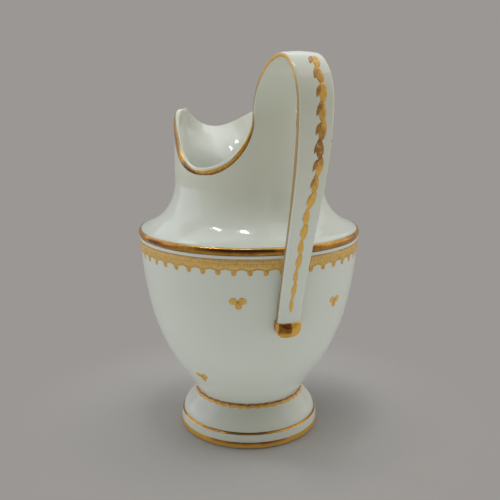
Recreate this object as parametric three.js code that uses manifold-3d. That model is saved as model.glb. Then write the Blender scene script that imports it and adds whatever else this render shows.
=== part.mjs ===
// Porcelain milk jug of helmet form. A hollow pedestal foot carries an ovoid bowl. A waisted neck
// closes it, with a rim that dips at the sides and rises to a beak lip. A strap handle springs
// from the rear of the rim, arches over and runs down to a gilt pad on the bowl.
// The castings are luted together with slip, and the gilding lies on the glaze as thin bands.
// Millimetres, +Z up. Origin: centre of the foot on the standing plane. The handle is at +X.

import * as THREE from "three";
import { mergeVertices } from "three/addons/utils/BufferGeometryUtils.js";
import Module from "manifold-3d";

const wasm = await Module();
wasm.setup();

// Fits
const slip = 0.5;               // thickness of the fired slip in each luted joint
const jointGap = 0.3;           // between castings that are not held by slip
const gildGap = 0.22;           // between a gilt band and the glaze under it
const gildThickness = 0.35;     // of every gilt band

// Foot
const footRadius = 35.4;        // widest, low on the plinth
const footHeight = 19.6;        // standing plane to the seat of the bowl
const waistRadius = 26.8;       // at the seat, where foot and bowl meet
const plinthHeight = 7.2;       // plain ring under the domed part
const plinthStep = 0.9;         // the dome stands in by this much
const standingWidth = 6.0;      // flat ring that the jug stands on
const footPlate = 6.0;          // porcelain left above the hollow of the foot
const footEdge = 1.2;           // rounding at the bottom of the plinth

// Bowl
const bowlRadius = 54.0;        // at the shoulder
const bowlHeight = 80.1;        // seat to shoulder
const bowlWall = 3.2;
const bowlFloor = 5.0;

// Neck and rim
const collarHeight = 3.4;       // upright ring behind the shoulder bead
const beadDepth = 1.0;          // radial depth of the shoulder bead
const neckRadius = 36.2;
const neckWall = 3.0;
const cavettoHeight = 21.0;     // hollow curve from collar to neck
const rimLow = 134.8;           // height of the rim at its two dips
const rimLowAngle = 61;         // degrees from the handle to a dip
const rimCrest = 160.0;         // height of the two crests beside the lip
const rimCrestAngle = 125;      // degrees from the handle to where a crest begins
const rimCrestWidth = 22;       // a crest runs level over this many degrees
const lipHeight = 148.8;        // height of the lip between the crests
const lipReach = 61.0;          // lip from the axis
const lipHalfAngle = 53;        // the lip flares over this much to either side
const tongueTop = 157.5;        // height of the joint between neck and strap
const tongueHalfAngle = 16.6;   // half width of the tongue, seen from the axis
const tongueFall = 10;          // the rim drops this steeply beside the tongue

// Handle
const archThickness = 2.6;      // of the strap over the arch
const strapThickness = 4.2;     // of the strap on its way down
const strapEndThickness = 3.8;
const strapCrown = 0.6;         // the outer face falls by this much to its edges
const strapWidth = 15.4;        // over the outer bend
const strapEndWidth = 10.9;
const archTop = 184.0;          // highest point of the strap
const archTopReach = 58.6;      // that point from the axis
const handleReach = 78.2;       // furthest point of the strap from the axis
const handleReachHeight = 163.0;
const strapEndHeight = 70.5;
const tailDrop = 28;            // the strap keeps upright over this much below the bend
const tailLift = 24.5;          // above its end the strap runs along the bowl for this much
const tailSwing = 4.6;          // and leans out by this much there
const strapEndClear = 0.45;     // between the strap's lower end and the bowl
const padWidth = 11.7;
const padHeight = 8.0;
const padThickness = 6.2;
const padProud = 0.8;           // the pad stands out from the strap's face

// Gilding
const rimBand = 3.0;
const borderTop = 0.6;          // below the shoulder
const borderHeight = 4.4;
const dropHeight = 1.7;         // drops along the lower edge of the border
const dropCount = 46;
const baseBand = 2.4;
const lineBand = 1.1;
const garlandBand = 1.9;
const huskPitch = 6.9;
const huskWidth = 3.6;
const huskStem = 1.2;

const turns = 56;               // facets round every turned form

// Heights that follow from the sizes above
const bowlBase = footHeight + slip;
const shoulder = bowlBase + bowlHeight;
const collarBase = shoulder + slip;
const collarTop = shoulder + collarHeight;
const neckBase = collarTop + cavettoHeight;
const collarRadius = bowlRadius - 1;
const radians = THREE.MathUtils.degToRad;

const porcelain = () => new THREE.MeshStandardMaterial({ color: 0xd6d6ca, roughness: 0.12, metalness: 0 });
const gilt = () => new THREE.MeshStandardMaterial({ color: 0xb98a3c, roughness: 0.3, metalness: 1 });
const firedSlip = () => new THREE.MeshStandardMaterial({ color: 0xc9c5b6, roughness: 0.8, metalness: 0 });

const group = new THREE.Group();
group.name = "porcelain_jug";

// Welds a geometry, drops triangles without area and turns the faces outward.
function tidy(geometry) {
  const bare = new THREE.BufferGeometry();
  bare.setAttribute("position", geometry.getAttribute("position"));
  if (geometry.index) bare.setIndex(geometry.index);
  const welded = mergeVertices(bare, 1e-4);
  const place = welded.getAttribute("position");
  const corner = (i) => new THREE.Vector3().fromBufferAttribute(place, i);
  const kept = [];
  let volume = 0;
  for (let i = 0; i < welded.index.count; i += 3) {
    const [a, b, c] = [0, 1, 2].map((k) => welded.index.getX(i + k));
    if (a === b || b === c || c === a) continue;
    kept.push([a, b, c]);
    volume += corner(a).dot(corner(b).cross(corner(c)));
  }
  const faces = volume < 0 ? kept.map(([a, b, c]) => [a, c, b]) : kept;
  welded.setIndex(faces.flat());
  welded.computeVertexNormals();
  return welded;
}

function add(name, geometry, material) {
  const mesh = new THREE.Mesh(tidy(geometry), material);
  mesh.name = name;
  group.add(mesh);
}

// Skins a row of rings that all have the same number of points. An open row gets flat ends,
// for which the outline gives the ring in its own plane.
function loft(rings, outline) {
  const count = rings[0].length;
  const points = rings.flat();
  const index = [];
  const spans = outline ? rings.length - 1 : rings.length;
  for (let i = 0; i < spans; i += 1) {
    const here = i * count;
    const next = ((i + 1) % rings.length) * count;
    for (let j = 0; j < count; j += 1) {
      const k = (j + 1) % count;
      index.push(here + j, next + j, next + k, here + j, next + k, here + k);
    }
  }
  if (outline) {
    const last = (rings.length - 1) * count;
    for (const [a, b, c] of THREE.ShapeUtils.triangulateShape(outline, [])) {
      index.push(a, b, c, last + c, last + b, last + a);
    }
  }
  const geometry = new THREE.BufferGeometry().setFromPoints(points);
  geometry.setIndex(index);
  // The two flat ends must face away from the row, whichever way the outline runs.
  return outline ? matchEnds(geometry, count, rings.length) : geometry;
}

// Turns the end faces round when they share an edge direction with the skin.
function matchEnds(geometry, count, rows) {
  const list = Array.from(geometry.index.array);
  const skin = (rows - 1) * count * 6;
  const first = new Set();
  for (let i = 0; i < skin; i += 3) {
    for (let k = 0; k < 3; k += 1) first.add(`${list[i + k]}>${list[i + ((k + 1) % 3)]}`);
  }
  let clash = false;
  for (let i = skin; i < list.length; i += 3) {
    for (let k = 0; k < 3; k += 1) {
      if (first.has(`${list[i + k]}>${list[i + ((k + 1) % 3)]}`)) clash = true;
    }
  }
  if (!clash) return geometry;
  for (let i = skin; i < list.length; i += 3) [list[i + 1], list[i + 2]] = [list[i + 2], list[i + 1]];
  geometry.setIndex(list);
  return geometry;
}

// Turns a profile of [radius, height] pairs about Z.
function turned(profile) {
  const points = profile.map(([r, z]) => new THREE.Vector2(r, z));
  return new THREE.LatheGeometry(points, turns).rotateX(Math.PI / 2);
}

// The same for a profile that closes on itself.
function turnedRing(profile) {
  return turned([...profile, profile[0]]);
}

function bezier(a, b, c, d) {
  const at = ([x, y]) => new THREE.Vector2(x, y);
  return new THREE.CubicBezierCurve(at(a), at(b), at(c), at(d));
}

// Points of a plane curve, moved sideways by the offset, to the left of its direction.
function along(curve, from, to, steps, offset = 0) {
  const row = [];
  for (let i = 0; i <= steps; i += 1) {
    const t = from + ((to - from) * i) / steps;
    const p = curve.getPoint(t);
    const d = curve.getTangent(t);
    row.push([p.x - d.y * offset, p.y + d.x * offset]);
  }
  return row;
}

// Radius at a height on a plane curve that climbs all the way.
function radiusAt(curve, z) {
  let low = 0;
  let high = 1;
  for (let i = 0; i < 40; i += 1) {
    const mid = (low + high) / 2;
    if (curve.getPoint(mid).y < z) low = mid;
    else high = mid;
  }
  return curve.getPoint(low).x;
}

// Foot: plinth, step, dome, and a hollow underneath.
const domeRadius = footRadius - 0.6 - plinthStep;
const dome = bezier(
  [domeRadius, plinthHeight + 0.8],
  [domeRadius - 0.4, plinthHeight + 5.2],
  [waistRadius + 1.6, footHeight - 4.6],
  [waistRadius, footHeight],
);
const hollowRadius = footRadius - footEdge - standingWidth;
const hollowTop = footHeight - footPlate;
const hollow = bezier(
  [hollowRadius, 0],
  [hollowRadius - 1, hollowTop * 0.55],
  [hollowRadius * 0.8, hollowTop],
  [hollowRadius * 0.5, hollowTop],
);
const plinth = [
  [footRadius - footEdge, 0],
  [footRadius - footEdge * 0.3, footEdge * 0.35],
  [footRadius, footEdge],
  [footRadius - 0.2, footEdge + baseBand],
  [footRadius - 0.6, plinthHeight],
];
add(
  "foot",
  turned([
    [0, hollowTop],
    ...along(hollow, 1, 0, 5),
    ...plinth,
    ...along(dome, 0, 1, 6),
    [0, footHeight],
  ]),
  porcelain(),
);

// Slip between foot and bowl: a disc just inside the waist.
add(
  "foot_luting_slip",
  turned([
    [0, footHeight],
    [waistRadius - 0.9, footHeight],
    [waistRadius - 0.9, bowlBase],
    [0, bowlBase],
  ]),
  firedSlip(),
);

// Bowl: swelling wall of even thickness over a thicker floor, open at the shoulder.
const swell = bezier(
  [waistRadius, bowlBase],
  [bowlRadius - 9.4, bowlBase + bowlHeight * 0.327],
  [bowlRadius - 3.2, bowlBase + bowlHeight * 0.458],
  [bowlRadius, shoulder],
);
const inside = along(swell, 1, 0.16, 9, bowlWall);
const floorHeight = bowlBase + bowlFloor;
add(
  "bowl",
  turned([
    [0, bowlBase],
    ...along(swell, 0, 1, 12),
    [bowlRadius - bowlWall, shoulder],
    ...inside.slice(1),
    [inside.at(-1)[0] * 0.62, floorHeight + 0.8],
    [0, floorHeight],
  ]),
  porcelain(),
);

// Slip between bowl and neck: a flat ring.
add(
  "shoulder_luting_slip",
  turnedRing([
    [bowlRadius - bowlWall + 0.3, shoulder],
    [collarRadius - 0.4, shoulder],
    [collarRadius - 0.4, collarBase],
    [bowlRadius - bowlWall + 0.3, collarBase],
  ]),
  firedSlip(),
);

// Rim line: degrees from the handle and height, on one side.
function rimStations() {
  const row = [];
  const spring = bezier(
    [tongueHalfAngle, tongueTop],
    [tongueHalfAngle + 1, tongueTop - tongueFall],
    [rimLowAngle * 0.54, rimLow],
    [rimLowAngle, rimLow],
  );
  for (const t of [0, 0.04, 0.1, 0.2, 0.3, 0.4, 0.5, 0.6, 0.7, 0.8, 0.9, 1]) {
    const p = spring.getPoint(t);
    row.push({ angle: p.x, height: p.y });
  }
  const ease = (t) => (1 - Math.cos(Math.PI * t)) / 2;
  for (let i = 1; i <= 10; i += 1) {
    const angle = THREE.MathUtils.lerp(rimLowAngle, rimCrestAngle, i / 10);
    row.push({ angle, height: THREE.MathUtils.lerp(rimLow, rimCrest, ease(i / 10)) });
  }
  const crestEnd = rimCrestAngle + rimCrestWidth;
  for (const t of [0.25, 0.5, 0.75]) {
    row.push({ angle: THREE.MathUtils.lerp(rimCrestAngle, crestEnd, t), height: rimCrest });
  }
  for (let i = 0; i <= 6; i += 1) {
    const angle = THREE.MathUtils.lerp(crestEnd, 180, i / 6);
    row.push({ angle, height: THREE.MathUtils.lerp(rimCrest, lipHeight, ease(i / 6)) });
  }
  return row;
}

// From one edge of the tongue round by the lip to the other edge.
const oneSide = rimStations();
const rimWay = [
  ...oneSide,
  ...oneSide.slice(0, -1).reverse().map((s) => ({ angle: 360 - s.angle, height: s.height })),
];

// How far the lip carries the wall outward at an angle and a height.
function flare(angle, z, rimHeight) {
  const away = Math.abs(180 - angle) / lipHalfAngle;
  if (away >= 1) return 0;
  const bell = Math.cos((away * Math.PI) / 2) ** 2.1;
  const climb = THREE.MathUtils.clamp((z - neckBase) / (rimHeight - neckBase), 0, 1);
  return (lipReach - neckRadius) * bell * climb ** 1.8;
}

function neckOuter(angle, z, rimHeight) {
  return neckRadius + flare(angle, z, rimHeight);
}

// Wall measured along the radius. It widens where the lip leans out, so that it stays even.
function neckInner(angle, z, rimHeight) {
  const lean = neckOuter(angle, z, rimHeight) - neckOuter(angle, z - 1, rimHeight);
  return neckOuter(angle, z, rimHeight) - neckWall * Math.hypot(1, lean);
}

const cavetto = bezier(
  [collarRadius, collarTop],
  [collarRadius - 7.5, collarTop + 2.3],
  [neckRadius + 0.8, collarTop + cavettoHeight * 0.42],
  [neckRadius, neckBase],
);
const rimRound = 0.9;

// One upright section of the neck, from the seat up the outside, over the rim and down the inside.
function neckSection({ angle, height }) {
  const row = [[collarRadius, collarBase], ...along(cavetto, 0, 1, 6)];
  const top = height - rimRound;
  const band = height - rimBand;
  const levels = [0.4, 0.75].map((t) => THREE.MathUtils.lerp(neckBase, band, t)).concat(band);
  for (const z of levels) row.push([neckOuter(angle, z, height), z]);
  row.push([neckOuter(angle, top, height), top]);
  row.push([(neckOuter(angle, height, height) + neckInner(angle, height, height)) / 2, height]);
  row.push([neckInner(angle, top, height), top]);
  for (const z of levels.toReversed()) row.push([neckInner(angle, z, height), z]);
  row.push(...along(cavetto, 1, 0.16, 5, neckWall));
  row.push([bowlRadius - bowlWall, collarBase]);
  return row;
}

const ring = (angle, section) =>
  section.map(([r, z]) => new THREE.Vector3(r * Math.cos(radians(angle)), r * Math.sin(radians(angle)), z));

const tongue = [-0.5, 0, 0.5].map((t) => ({ angle: t * tongueHalfAngle, height: tongueTop }));

// The tongue ends flat, so its section has a square top.
function tongueSection(station) {
  const row = neckSection(station);
  return row.map(([r, z]) => [r, z > tongueTop - 2 * rimRound ? tongueTop : z]);
}

const tongueEdges = [rimWay[0], rimWay.at(-1)];
const neckRings = [
  ...tongue.map((s) => ring(s.angle, tongueSection(s))),
  ...rimWay.map((s) => ring(s.angle, tongueEdges.includes(s) ? tongueSection(s) : neckSection(s))),
];
add("neck", loft(neckRings), porcelain());

// Shoulder bead: a half-round ring about the collar that covers the joint.
const beadInner = collarRadius + jointGap;
const beadBase = shoulder + jointGap;
const beadTop = collarTop - 0.2;
add(
  "shoulder_bead",
  turnedRing([
    [beadInner, beadBase],
    [beadInner + beadDepth * 0.6, beadBase],
    [beadInner + beadDepth, beadBase + 1.2],
    [beadInner + beadDepth, beadTop - 1.4],
    [beadInner + beadDepth * 0.6, beadTop - 0.2],
    [beadInner, beadTop],
  ]),
  gilt(),
);

// Rim gilding: one strip on the outside of the rim, up to its crown. It runs from just below one
// tongue edge to just below the other.
// The strip is measured upright, so it grows where the rim climbs steeply.
function rimGildSection(station, index) {
  const { angle, height } = station;
  const before = rimWay[index];
  const after = rimWay[index + 2];
  const run = radians(after.angle - before.angle) * neckRadius;
  const steep = Math.min(Math.hypot(1, (after.height - before.height) / run), 2.6);
  const low = height - rimBand * steep;
  const edge = height - rimRound;
  const crown = height + gildGap;
  const outer = (z, d) => [neckOuter(angle, z, height) + d, z];
  const full = gildGap + gildThickness;
  const middle = (neckOuter(angle, height, height) + neckInner(angle, height, height)) / 2;
  const wide = neckOuter(angle, edge, height);
  return [
    outer(low, gildGap),
    outer(low, full),
    [wide + full, edge],
    [(wide + middle) / 2 + full, height - rimRound * 0.4 + full],
    [middle, crown + gildThickness],
    [middle, crown],
    [wide + gildGap, edge],
  ];
}

const rimGilt = rimWay.slice(1, -1);
const rimSections = rimGilt.map(rimGildSection);
const rimOutline = rimSections[0].map(([r, z]) => new THREE.Vector2(r, z));
add("rim_gilding", loft(rimGilt.map((s, i) => ring(s.angle, rimSections[i])), rimOutline), gilt());

// Border under the shoulder: a band whose lower edge hangs in drops.
const borderRings = [];
const borderSteps = dropCount * 2;
for (let i = 0; i < borderSteps; i += 1) {
  const high = shoulder - borderTop;
  const low = high - borderHeight - (i % 2) * dropHeight;
  const near = (z, d) => [radiusAt(swell, z) + d, z];
  const full = gildGap + gildThickness;
  const section = [near(low, gildGap), near(low, full), near(high, full), near(high, gildGap)];
  borderRings.push(ring((i * 360) / borderSteps, section));
}
add("border_gilding", loft(borderRings), gilt());

// Gilt bands on the foot, each between two heights on a line of its outside.
function footBand(name, radius, low, high) {
  const full = gildGap + gildThickness;
  add(
    name,
    turnedRing([
      [radius(low) + gildGap, low],
      [radius(low) + full, low],
      [radius(high) + full, high],
      [radius(high) + gildGap, high],
    ]),
    gilt(),
  );
}

const domeAt = (z) => radiusAt(dome, z);
const baseTop = footEdge + baseBand;
const plinthAt = (z) => THREE.MathUtils.mapLinear(z, footEdge, baseTop, footRadius, footRadius - 0.2);
footBand("foot_base_gilding", plinthAt, footEdge, baseTop);
footBand("foot_line_gilding", domeAt, plinthHeight + 0.9, plinthHeight + 0.9 + lineBand);
footBand("foot_garland_gilding", domeAt, footHeight - 0.5 - garlandBand, footHeight - 0.5);

// Handle: the middle line of the strap, in the XZ plane.
const rootReach = neckRadius - neckWall / 2;
const rootHeight = tongueTop + slip;
const topHeight = archTop - archThickness / 2;
const bendReach = handleReach - archThickness / 2;
const endReach = radiusAt(swell, strapEndHeight) + strapEndClear + strapEndThickness / 2;
const inPlane = (x, z) => new THREE.Vector3(x, 0, z);
const legs = [
  new THREE.CubicBezierCurve3(
    inPlane(rootReach, rootHeight),
    inPlane(rootReach, rootHeight + (topHeight - rootHeight) * 0.56),
    inPlane(archTopReach - (archTopReach - rootReach) * 0.55, topHeight),
    inPlane(archTopReach, topHeight),
  ),
  new THREE.CubicBezierCurve3(
    inPlane(archTopReach, topHeight),
    inPlane(archTopReach + (bendReach - archTopReach) * 0.56, topHeight),
    inPlane(bendReach, handleReachHeight + (topHeight - handleReachHeight) * 0.56),
    inPlane(bendReach, handleReachHeight),
  ),
  new THREE.CubicBezierCurve3(
    inPlane(bendReach, handleReachHeight),
    inPlane(bendReach, handleReachHeight - tailDrop),
    inPlane(endReach + tailSwing, strapEndHeight + tailLift),
    inPlane(endReach, strapEndHeight),
  ),
];
const legLengths = legs.map((leg) => leg.getLength());
const wayLength = legLengths.reduce((sum, length) => sum + length, 0);

// The leg at a share of the whole length, and the share of that leg.
function onWay(u) {
  let rest = u * wayLength;
  let i = 0;
  while (i < legs.length - 1 && rest > legLengths[i]) {
    rest -= legLengths[i];
    i += 1;
  }
  return [legs[i], THREE.MathUtils.clamp(rest / legLengths[i], 0, 1)];
}

function wayPoint(u) {
  const [leg, share] = onWay(u);
  return leg.getPointAt(share);
}

function wayDirection(u) {
  const [leg, share] = onWay(u);
  return leg.getTangentAt(share);
}

// Half width, thickness, dish and crown of the strap at a share of its length. At the root the
// strap is still as curved as the neck wall. Over the arch its outer face turns from dished to crowned.
const rootHalf = rootReach * Math.sin(radians(tongueHalfAngle));
const rootDish = rootReach * (1 - Math.cos(radians(tongueHalfAngle)));
function strapThicknessAt(u) {
  const arch = THREE.MathUtils.lerp(neckWall, archThickness, THREE.MathUtils.smoothstep(u, 0, 0.14));
  const full = THREE.MathUtils.lerp(arch, strapThickness, THREE.MathUtils.smoothstep(u, 0.3, 0.58));
  return THREE.MathUtils.lerp(full, strapEndThickness, THREE.MathUtils.smoothstep(u, 0.6, 1));
}

function strapSize(u) {
  const over = THREE.MathUtils.smoothstep(u, 0, 0.24);
  const down = THREE.MathUtils.smoothstep(u, 0.3, 1);
  const bend = THREE.MathUtils.lerp(rootHalf, strapWidth / 2, over);
  return {
    half: THREE.MathUtils.lerp(bend, strapEndWidth / 2, down),
    thick: strapThicknessAt(u),
    dish: rootDish * (1 - over),
    crown: strapCrown * over,
  };
}

// Direction of the strap: it leaves the tongue straight up.
const heading = (u) => (u > 0 ? wayDirection(u) : new THREE.Vector3(0, 0, 1));

// Places a section of [across, outward] points at a share of the length.
function strapRing(u, section) {
  const p = wayPoint(u);
  const d = heading(u);
  const outward = new THREE.Vector3(-d.z, 0, d.x);
  const { half, dish } = strapSize(u);
  return section.map(([across, out]) => {
    const bow = dish * (across / half) ** 2;
    return p.clone().addScaledVector(outward, out + bow).setY(across);
  });
}

function strapSection(u) {
  const { half, thick, crown } = strapSize(u);
  const h = thick / 2;
  const round = 0.7;
  const edge = h - crown;
  return [
    [-half, -h + round],
    [-half + round, -h],
    [half - round, -h],
    [half, -h + round],
    [half, edge - round],
    [half - round, edge],
    [half / 2, h - crown / 4],
    [0, h],
    [-half / 2, h - crown / 4],
    [-half + round, edge],
    [-half, edge - round],
  ];
}

const asOutline = (section) => section.map(([x, y]) => new THREE.Vector2(x, y));
function shares(from, to, steps) {
  return Array.from({ length: steps + 1 }, (_, i) => from + ((to - from) * i) / steps);
}
const strapRings = shares(0, 1, 36).map((u) => strapRing(u, strapSection(u)));
add("handle_strap", loft(strapRings, asOutline(strapSection(0))), porcelain());

// Slip at the two ends of the strap, on the strap's own end outline.
function endSlip(name, u, direction) {
  const first = strapRing(u, strapSection(u));
  const second = first.map((p) => p.clone().addScaledVector(direction, slip));
  add(name, loft([first, second], asOutline(strapSection(u))), firedSlip());
}

const endWay = heading(1);
endSlip("handle_root_slip", 0, heading(0).negate());
endSlip("handle_end_slip", 1, endWay);

// Gilding along the two edges of the strap, on its side faces.
function edgeSection(u, side) {
  const { half, thick, crown } = strapSize(u);
  const full = gildGap + gildThickness;
  const low = 0.4 - thick / 2;
  const edge = thick / 2 - crown;
  return [
    [side * (half + gildGap), low],
    [side * (half + full), low],
    [side * (half + full), edge],
    [side * (half + gildGap), edge],
  ];
}

for (const [name, side] of [["strap_edge_gilding_left", -1], ["strap_edge_gilding_right", 1]]) {
  const rings = shares(0.004, 0.985, 36).map((u) => strapRing(u, edgeSection(u, side)));
  add(name, loft(rings, asOutline(edgeSection(0, side))), gilt());
}

// Husk chain down the outer face: wide at each husk, narrow at each stem.
const huskFrom = 0.2;
const huskTo = 0.95;
const huskCount = Math.round((wayLength * (huskTo - huskFrom)) / huskPitch);
function huskSection(u, step) {
  const wide = step % 4 === 0 ? huskStem / 2 : huskWidth / 2;
  const middle = step % 4 === 2 ? (huskWidth * 0.8) / 2 : wide;
  const low = strapSize(u).thick / 2 + gildGap;
  return [[-middle, low], [middle, low], [middle, low + gildThickness], [-middle, low + gildThickness]];
}
const huskShares = shares(huskFrom, huskTo, huskCount * 4);
add(
  "husk_chain_gilding",
  loft(huskShares.map((u, i) => strapRing(u, huskSection(u, i))), asOutline(huskSection(huskFrom, 0))),
  gilt(),
);

// Pad at the foot of the strap: straight above, rounded below, its back fitted to the bowl.
const padRound = 1.6;
const padHalf = padWidth / 2 - padRound;
const padDrop = padHeight - 2 * padRound;
const padShape = new THREE.Shape();
padShape.moveTo(-padHalf, 0);
padShape.lineTo(padHalf, 0);
padShape.lineTo(padHalf, padDrop * 0.35);
padShape.quadraticCurveTo(padHalf, padDrop, padHalf * 0.35, padDrop);
padShape.lineTo(-padHalf * 0.35, padDrop);
padShape.quadraticCurveTo(-padHalf, padDrop, -padHalf, padDrop * 0.35);
padShape.closePath();
const padBlock = new THREE.ExtrudeGeometry(padShape, {
  depth: padThickness - padRound,
  curveSegments: 5,
  bevelEnabled: true,
  bevelThickness: padRound,
  bevelSize: padRound,
  bevelSegments: 3,
});

// The drawing's X runs across the strap, its Y down the strap and its depth outward.
const padOut = new THREE.Vector3(-endWay.z, 0, endWay.x);
const padFace = strapEndThickness / 2 + padProud;
const padPlace = wayPoint(1)
  .addScaledVector(endWay, slip + padRound)
  .addScaledVector(padOut, padFace - padThickness);
padBlock.applyMatrix4(
  new THREE.Matrix4().makeBasis(new THREE.Vector3(0, 1, 0), endWay, padOut).setPosition(padPlace),
);

function toSolid(geometry) {
  const clean = tidy(geometry);
  return new wasm.Manifold(new wasm.Mesh({
    numProp: 3,
    vertProperties: new Float32Array(clean.getAttribute("position").array),
    triVerts: new Uint32Array(clean.index.array),
  }));
}

function fromSolid(solid) {
  const mesh = solid.getMesh();
  const geometry = new THREE.BufferGeometry();
  geometry.setAttribute("position", new THREE.BufferAttribute(new Float32Array(mesh.vertProperties), 3));
  geometry.setIndex(new THREE.BufferAttribute(new Uint32Array(mesh.triVerts), 1));
  return geometry;
}

const bowlKeepOut = turned([
  [0, bowlBase],
  ...along(swell, 0, 1, 12, -jointGap),
  [0, shoulder],
]);
add("handle_pad", fromSolid(toSolid(padBlock).subtract(toSolid(bowlKeepOut))), gilt());

export default group;
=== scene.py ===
# %% [markdown]
# # A porcelain jug with gilded bands
# The jug is made of porcelain castings that are joined with slip: a hollow foot, an ovoid bowl, a neck whose
# rim runs up at the rear, and a strap handle that ends on a small pad. Gold lies on the glaze as bands, lines
# and painted ornament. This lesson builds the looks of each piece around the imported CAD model, in its frame.

# %% The frame
import math

import bmesh
import bpy
import numpy as np
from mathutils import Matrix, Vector
from mathutils.kdtree import KDTree


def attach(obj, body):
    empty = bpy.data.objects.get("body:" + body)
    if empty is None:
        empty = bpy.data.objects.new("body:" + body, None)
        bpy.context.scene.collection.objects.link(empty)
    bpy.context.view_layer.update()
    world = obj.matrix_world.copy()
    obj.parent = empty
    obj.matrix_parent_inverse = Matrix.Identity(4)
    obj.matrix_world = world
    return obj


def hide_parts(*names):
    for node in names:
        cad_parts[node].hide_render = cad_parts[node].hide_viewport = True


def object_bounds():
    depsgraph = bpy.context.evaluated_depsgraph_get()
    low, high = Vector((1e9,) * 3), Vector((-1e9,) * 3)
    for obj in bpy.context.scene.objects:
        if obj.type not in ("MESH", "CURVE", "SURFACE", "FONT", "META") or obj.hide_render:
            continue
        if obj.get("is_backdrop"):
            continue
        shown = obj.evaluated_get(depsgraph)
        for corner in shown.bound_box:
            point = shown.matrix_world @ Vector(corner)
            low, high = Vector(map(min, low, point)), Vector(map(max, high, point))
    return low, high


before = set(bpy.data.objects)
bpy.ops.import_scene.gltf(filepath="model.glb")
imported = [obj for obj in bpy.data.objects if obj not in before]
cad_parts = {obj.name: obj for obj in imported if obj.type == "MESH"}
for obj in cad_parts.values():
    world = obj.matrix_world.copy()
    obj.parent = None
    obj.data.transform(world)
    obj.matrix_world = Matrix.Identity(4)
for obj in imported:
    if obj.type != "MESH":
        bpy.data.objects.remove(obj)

CAD_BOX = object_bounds()
MM = 0.001                            # shapes are written in mm, and the scene is in metres
scene = bpy.context.scene
scene.view_settings.view_transform = "Standard"
print("CAD nodes:", len(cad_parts))
print("CAD box in mm:", [[round(v / MM, 1) for v in corner] for corner in CAD_BOX])

# %% [markdown]
# ## Camera
# The photograph looks at the handle from a little to its left and from slightly above the rim. The camera
# could be aimed with a constraint, but plain numbers are easier to read: how far it stands from the jug's
# axis, how high, and how much it tilts down. A 50 mm lens gives the photograph's perspective.

# %% Camera at the photograph's angle
CAMERA_TURN = math.radians(19.3)      # from the handle's direction towards the jug's own left
CAMERA_REACH = 0.33998
CAMERA_HEIGHT = 0.16867
CAMERA_TILT = 0.2257
LENS, SENSOR_WIDTH, FRAME_SHIFT = 49.97, 36.0, 0.0023
NEAR = Vector((math.cos(CAMERA_TURN), -math.sin(CAMERA_TURN), 0))
RIGHT = Vector((math.sin(CAMERA_TURN), math.cos(CAMERA_TURN), 0))
UP = Vector((0, 0, 1))


def put(name, data):
    """A new object with this data, in the scene."""
    thing = bpy.data.objects.new(name, data)
    scene.collection.objects.link(thing)
    return thing


def look_along(thing, way):
    """Turns a camera or a lamp to look along a direction."""
    thing.rotation_euler = way.to_track_quat("-Z", "Y").to_euler()


def place_camera():
    data = bpy.data.cameras.new("camera")
    data.lens = LENS
    data.sensor_width = SENSOR_WIDTH
    data.shift_x = FRAME_SHIFT
    camera = put("camera", data)
    camera.location = NEAR * CAMERA_REACH + UP * CAMERA_HEIGHT
    look_along(camera, -NEAR * math.cos(CAMERA_TILT) - UP * math.sin(CAMERA_TILT))
    scene.camera = camera
    return camera


print("camera at", tuple(round(v, 4) for v in place_camera().location))

# %% [markdown]
# ## Node trees written as expressions
# A shader or a Geometry Nodes tree is a drawing of boxes and wires. It could be drawn by naming each box
# and each link, which is long to read. Here one small class stands for a wire: a sum or a product of two
# wires adds the Math node itself, and its method node adds any other kind of box.


# %% A wire that understands arithmetic
class Wire:
    """An output socket of a node tree. Arithmetic on it adds Math nodes."""

    def __init__(self, tree, socket=None):
        self.tree = tree
        self.socket = socket

    def node(self, kind, settings=None, inputs=None, out=0):
        """Adds a node, sets its settings first, then its sockets, and returns one of its outputs."""
        box = self.tree.nodes.new(kind)
        for key, value in (settings or {}).items():
            setattr(box, key, value)
        for key, value in (inputs or {}).items():
            if isinstance(value, Wire):
                self.tree.links.new(value.socket, box.inputs[key])
            else:
                box.inputs[key].default_value = value
        return Wire(self.tree, None if out is None else box.outputs[out])

    def beside(self, out):
        """Another output of the same node."""
        return Wire(self.tree, self.socket.node.outputs[out])

    def math(self, operation, first, second=0.0):
        return self.node("ShaderNodeMath", {"operation": operation}, {0: first, 1: second})

    def __add__(self, other):
        return self.math("ADD", self, other)

    def __sub__(self, other):
        return self.math("SUBTRACT", self, other)

    def __rsub__(self, other):
        return self.math("SUBTRACT", other, self)

    def __mul__(self, other):
        return self.math("MULTIPLY", self, other)

    def __truediv__(self, other):
        return self.math("DIVIDE", self, other)

    def __rtruediv__(self, other):
        return self.math("DIVIDE", other, self)

    __radd__ = __add__
    __rmul__ = __mul__

    def step(self, low, high):
        """0 below low, 1 above high, and a smooth climb between them."""
        inputs = {"Value": self, "From Min": low, "From Max": high}
        return self.node("ShaderNodeMapRange", {"interpolation_type": "SMOOTHSTEP"}, inputs)

    def mix(self, first, second):
        """Between two colours, with this wire as the share of the second."""
        return self.node("ShaderNodeMix", {"data_type": "RGBA"}, {0: self, 6: first, 7: second}, 2)

    def mix_shaders(self, first, second):
        """Between two shaders, with this wire as the share of the second."""
        return self.node("ShaderNodeMixShader", None, {0: self, 1: first, 2: second})

    def vector(self, operation, inputs, out="Vector"):
        """A Vector Math node. Lengths, distances and dot products come out as its Value."""
        return self.node("ShaderNodeVectorMath", {"operation": operation}, inputs, out)

    def split(self):
        """The X of this vector, with its Y and Z beside it."""
        return self.node("ShaderNodeSeparateXYZ", None, {0: self})

    def join(self, x=0.0, y=0.0, z=0.0):
        return self.node("ShaderNodeCombineXYZ", None, {0: x, 1: y, 2: z})


print("wire operations ready")

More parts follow.
